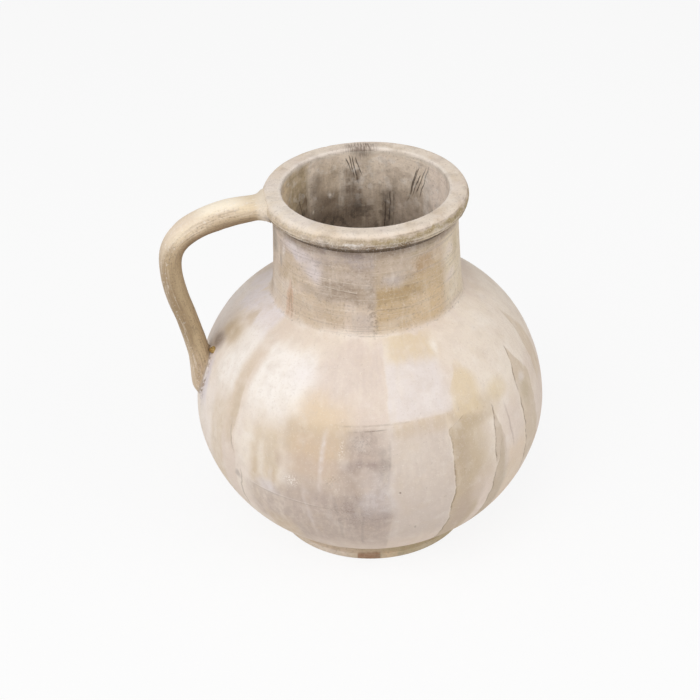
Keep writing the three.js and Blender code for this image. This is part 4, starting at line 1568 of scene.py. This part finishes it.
def inside_material():
    """The scrubbed wall inside the mouth, with a cream edge under the lip."""
    paint = Paint("scrubbed_inside", (244, 228, 210), bend=0.7)
    paint_inside(paint)
    rubbed = paint.z + (paint.cloud(8, 3, 55) - 0.5) * 5
    paint.lay(CREAM, rubbed.step(LIP - 6.5, LIP - 3) * 0.85)
    paint.within = hatch(paint)
    paint.spot((104, 90, 80), 0.6, (264, LIP - 3), (10, 7), 0.8)
    paint.within = None
    paint.grain(UMBER, TAN, 0.9)
    return paint.finish(paint.cloud(15, 2, 54) * 0.2 + 0.7, clay_bump(paint), 0.5)


def rim_material():
    """Beige, rubbed paler on top, with olive in the band and a sandy, worn lower edge, a painted shadow
    under the roll and a painted highlight round the mouth's edge.
    """
    paint = Paint("rubbed_rim", (227, 211, 194), bend=0.7)
    paint.bristles = paint.bristle_marks(46, 1.6, 60)
    paint.lay(CREAM, paint.z.step(LIP - 3, LIP - 0.6) * 0.4)
    paint.mottle(PINK, 0.5, 30, 3, 61, 0.45, 0.65)
    paint.mottle(TAN, 0.5, 18, 4, 62, 0.48, 0.66)
    bent = paint.z + (paint.cloud(9, 3, 69) - 0.5) * 3
    banded = bent.step(LIP - 2.4, LIP - 4.8)
    paint.lay((186, 167, 142), banded * 0.85)
    paint.wash((166, 147, 110), 0.85, (84, 180), (RIM_BASE - 6, LIP - 4.4), (14, 8), (2, 1), dry=0.3)
    paint.wash((132, 110, 84), 0.8, (52, 114), (RIM_BASE - 6, LIP - 9.5), (12, 8), (2, 1.5), dry=0.4)
    paint.wash((226, 206, 178), 0.5, (-30, 62), (LIP - 9, LIP - 1), (14, 14), (2, 2), dry=0.3)
    paint.wash(WARM_WHITE, 0.3, (-20, 50), (LIP - 4, LIP + 9), (14, 14), (2, 2), dry=0.3)
    paint.wash((214, 197, 172), 0.9, (112, 146), (RIM_BASE + 1, LIP - 8.5), (4, 6), (2, 1.5), dry=0.3)
    paint.lay(PINK, banded * paint.cloud(7, 3, 59).step(0.52, 0.66) * 0.4)
    sand = paint.cloud(1.3, 3, 58)
    paint.lay(UMBER, sand.step(0.54, 0.7) * banded * 0.26)
    paint.lay(CREAM, sand.step(0.46, 0.34) * banded * 0.28)
    paint.level(UMBER, 0.5, RIM_BASE + 8, (-60, 300), 0.8, 0, 0.8)
    paint.level(CREAM, 0.4, RIM_BASE + 9.6, (-60, 300), 0.8, 0, 0.9)
    ragged = paint.z + (paint.cloud(3.5, 3, 64) - 0.5) * 6
    paint.level(DRIED_EDGE, 0.35, LIP - 3.2, (96, 176), 0.7, 0, 0.6)
    paint.lay(UMBER, ragged.step(RIM_BASE + 6.4, RIM_BASE + 1.5) * 0.65)
    # Painted shadow: a dark band at the bottom of the rim's roll, over the neck.
    paint.lay(SOOT_AND_SHADOW, paint.z.step(RIM_BASE + 3, RIM_BASE) * 0.6)
    paint.speckled(1.4, 57)
    paint.wash(UMBER, 0.7, (24, 108), (RIM_BASE + 2, RIM_BASE + 8), (10, 10), (1.5, 1.5), dry=0.3)
    paint.wash(WARM_WHITE, 0.4, (30, 112), (RIM_BASE + 6, RIM_BASE + 11), (10, 10), (1, 1.5), dry=1)
    paint.within = None
    paint.wash(WARM_WHITE, 0.8, (70, 80), (RIM_BASE + 9.4, RIM_BASE + 11.4), (1, 1), (0.6, 0.6), dry=1)
    paint.lay(UMBER, paint.brushed(60, 1.4, 3, 65).step(0.54, 0.72) * 0.25 * banded)
    # Painted highlight: a pale ring along the mouth's edge.
    paint.lay(WARM_WHITE, paint.radius.step(MOUTH_RADIUS + 4, MOUTH_RADIUS + 1) * 0.35)
    near_mouth = paint.radius.step(MOUTH_RADIUS + 12, MOUTH_RADIUS + 7)
    paint.face(90)
    paint.within = near_mouth * hatch(paint)
    paint.spot((128, 112, 100), 0.95, (264, LIP), (13, 60), 0.8)
    paint.within = None
    paint.grain(UMBER, WARM_WHITE, 0.8)
    return paint.finish(paint.cloud(14, 2, 68) * 0.3 + 0.58, clay_bump(paint) + sand * banded * 1.5, 0.5)


def foot_material():
    """Bare olive-tan clay with lines from turning and a rusty chip."""
    paint = Paint("turned_foot_clay", (224, 208, 187), bend=0.3)
    paint.bristles = paint.bristle_marks(46, 1.6, 70)
    paint.mottle(KHAKI, 0.35, 50, 2, 71, 0.42, 0.6)
    paint.wash((198, 182, 150), 0.8, (88, 160), (-5, 12), (8, 8), (1, 1), dry=0.3)
    paint.wash((234, 219, 204), 0.6, (20, 70), (-5, 12), (8, 8), (1, 1))
    paint.streak(KHAKI, 0.3, 80, 1.6, 2, 72, 0.45, 0.65)
    paint.wash(RUST, 0.9, (73, 86), (0.6, 6), (0.5, 0.5), (0.8, 0.8), dry=0.3)
    paint.wash(PEACH, 0.6, (87, 96), (0, 6.4), (0.5, 1.5), (0.8, 0.8))
    paint.wash(RUST, 0.6, (206, 214), (0.8, 6), (0.6, 0.5), (0.6, 0.6))
    paint.grain(UMBER, CREAM, 0.7)
    return paint.finish(paint.cloud(12, 2, 73) * 0.25 + 0.65, clay_bump(paint), 0.4)


def strap_material():
    """The strap: cream on top, lighter there partly as painted light, with a painted highlight along the
    arm; brown with drag lines on its sides; painted shade on its inner side and a painted shadow under
    the root.
    Its strokes have places along it in millimetres, from inside the rim, and face out (1) or in
    (-1)."""
    paint = Paint("pulled_handle_clay", (222, 204, 182), bend=0.3)
    layer = paint.node("ShaderNodeAttribute", attribute_name=STRAP_LAYER)
    along, outer, seat = paint.parted(layer.outputs["Vector"])
    toward_tail = along.step(60, 140)
    unrolled = paint.joined(along, outer * 12, paint.y)
    drag = paint.noise(unrolled, (18, 1.6, 1.6), 4, 81)
    coarse = paint.noise(unrolled, (26, 6, 6), 4, 82)
    fine = paint.cloud(1.5, 3, 83)
    at_bend = along.step(40, 60) * along.step(90, 70)
    facing = outer + (coarse - 0.5) * 0.9 + at_bend * 0.3
    paint.lay((196, 172, 138), facing.step(0.8, -0.1) * 0.75)
    paint.lay((180, 156, 122), along.step(62, 96) * 0.75)
    paint.lay((200, 176, 152), along.step(160, 190) * 0.6)
    paint.lay((150, 127, 97), along.step(88, 118) * along.step(176, 152) * 0.7)
    paint.lay((164, 140, 108), toward_tail * coarse.step(0.46, 0.62) * 0.5)
    # Painted shade: the strap's inner side is darker, and darker still at the bend.
    paint.lay((144, 120, 92), facing.step(0.2, -0.5) * (0.8 - along.step(66, 100) * 0.75))
    paint.lay((140, 116, 88), outer.step(-0.1, -0.6) * at_bend * 0.6)
    # Partly cream paint and partly painted light: the top of the strap is paler.
    paint.lay((236, 219, 193), facing.step(0.5, 0.9) * (0.9 - toward_tail * 0.8))
    patchy_top = coarse.step(0.44, 0.58) * along.step(96, 70) * facing.step(0.2, 0.6)
    paint.lay((226, 204, 168), patchy_top * 0.45)
    # Painted highlights: near white along the top of the arm, pale on the outside of the bend.
    paint.lay((255, 242, 220), outer.step(0.65, 0.98) * along.step(12, 28) * along.step(60, 44))
    paint.lay((238, 220, 204), outer.step(0.5, 0.95) * at_bend * 0.5)
    paint.lay((172, 150, 128), outer.step(0.2, 0.9) * along.step(72, 92) * along.step(160, 130) * 0.45)
    paint.lay((220, 198, 166), along.step(16, 6) * 0.4)
    paint.lay((210, 188, 160), outer.step(0.2, 0.8) * along.step(170, 190) * 0.5)
    paint.lay((214, 196, 182), facing.step(0.8, 1.1) * along.step(60, 120) * 0.5)
    paint.lay((200, 178, 144), along.step(84, 112) * facing.step(0.1, -0.5) * 0.65)
    paint.lay((160, 136, 104), along.step(84, 104) * along.step(160, 140) * outer.step(-0.7, 0) * 0.35)
    paint.lay(DRIED_EDGE, drag.step(0.5, 0.66) * facing.step(1, 0.3) * 0.4)
    paint.lay(CREAM, drag.step(0.46, 0.34) * facing.step(-0.4, 0.5) * 0.3)
    paint.lay(UMBER, fine.step(0.53, 0.68) * facing.step(1, 0.5) * 0.35)
    paint.lay(WARM_WHITE, paint.cloud(2.2, 2, 84).step(0.58, 0.72) * facing.step(-0.2, 0.5) * 0.4)
    joint = seat.step(2.6, 0.6)
    paint.lay(GREY, joint * toward_tail * 0.6)
    paint.lay(CREAM, seat.step(8, 2) * along.step(40, 20) * 0.55)
    # Painted shadow: grey under the root, where it meets the rim.
    paint.lay(GREY, joint * along.step(40, 20) * outer.step(0.2, -0.4) * 0.6)
    paint.lay(LILAC, seat.step(1.2, 0.3) * toward_tail * paint.cloud(4, 2, 85).step(0.4, 0.55) * 0.8)
    bump = drag + fine * 0.9 + coarse * 0.8
    return paint.finish(paint.cloud(12, 2, 87) * 0.3 + 0.55, bump, 0.5)


def dab_material():
    """Amber slip, dark below, with sooty specks."""
    paint = Paint("amber_slip", AMBER, bend=0)
    paint.mottle((186, 160, 104), 0.7, 3, 2, 91, 0.42, 0.6)
    paint.lay(UMBER, paint.z.step(DAB_CENTRE[2] - 0.2, DAB_CENTRE[2] - 2) * 0.9)
    paint.mottle(SOOT_AND_SHADOW, 0.5, 1.6, 1, 92, 0.6, 0.72)
    return paint.finish(paint.cloud(3, 2, 93) * 0.3 + 0.35, paint.cloud(1.2, 2, 94), 0.3)


def bare_material():
    """The clay itself, where two pieces meet and underneath."""
    paint = Paint("bare_clay", (196, 164, 134), bend=0.3)
    paint.mottle(RUST, 0.4, 24, 3, 95, 0.45, 0.7)
    paint.mottle(TAN, 0.5, 6, 3, 96, 0.5, 0.7)
    paint.grain(UMBER, CREAM, 0.8)
    return paint.finish(paint.cloud(9, 2, 97) * 0.2 + 0.72, clay_bump(paint), 0.5)


def sector_clays(piece, span):
    """A turned piece's materials in the order of their slots."""
    paints = [body_material(piece + "_" + str(i + 1), span, sector) for i, sector in enumerate(SECTORS)]
    return [paints[0], inside, bare, *paints[1:]]


inside = inside_material()
bare = bare_material()
bowl_clays = sector_clays("bowl", (FOOT_TOP, SEAM))
shoulder_clays = sector_clays("shoulder", (SEAM, NECK_BASE))
neck_clays = [body_material("neck", (NECK_BASE, RIM_BASE), EVERY_ANGLE), inside, bare]
rim_clays = [rim_material(), inside, bare]
foot_clays = [foot_material(), inside, bare]
strap_clays = [strap_material(), bare]
shoulder_walls = ("shoulder", "shoulder_inside", PAINTED_ROUND)
neck_walls = ("neck", "neck_inside", PAINTED)
ROOT_ROW, TAIL_ROW, LAST_ROW = strap_row(ROOT_END), strap_row(TAIL_START), len(STRAP_AT) - 1
# For each piece of the solid model, the one made here and the record's slot for its finish
made = {
    "foot": (turned_foot("foot_turned", foot_clays), "foot_clay"),
    "lower_bowl": (turned_bowl("lower_bowl_thrown", bowl_clays), "body_clay"),
    "shoulder": (turned_ring("shoulder_thrown", *shoulder_walls, shoulder_clays), "body_clay"),
    "neck": (turned_ring("neck_thrown", *neck_walls, neck_clays), "body_clay"),
    "rim": (turned_rim("rim_rolled", rim_clays), "rim_clay"),
    "handle_root": (strap_piece("handle_root_luted", 0, ROOT_ROW, strap_clays), "handle_clay"),
    "handle": (strap_piece("handle_pulled", ROOT_ROW, TAIL_ROW, strap_clays), "handle_clay"),
    "handle_tail": (strap_piece("handle_tail_pressed", TAIL_ROW, LAST_ROW, strap_clays), "handle_clay"),
    "slip_dab": (dab_piece("slip_dab_round", [dab_material()]), "slip"),
}
for node, (piece, slot) in made.items():
    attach(piece, "root")
    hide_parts(node)

make_world()
make_floor()
make_lamps()
make_camera()
bpy.context.scene.view_settings.view_transform = "Standard"
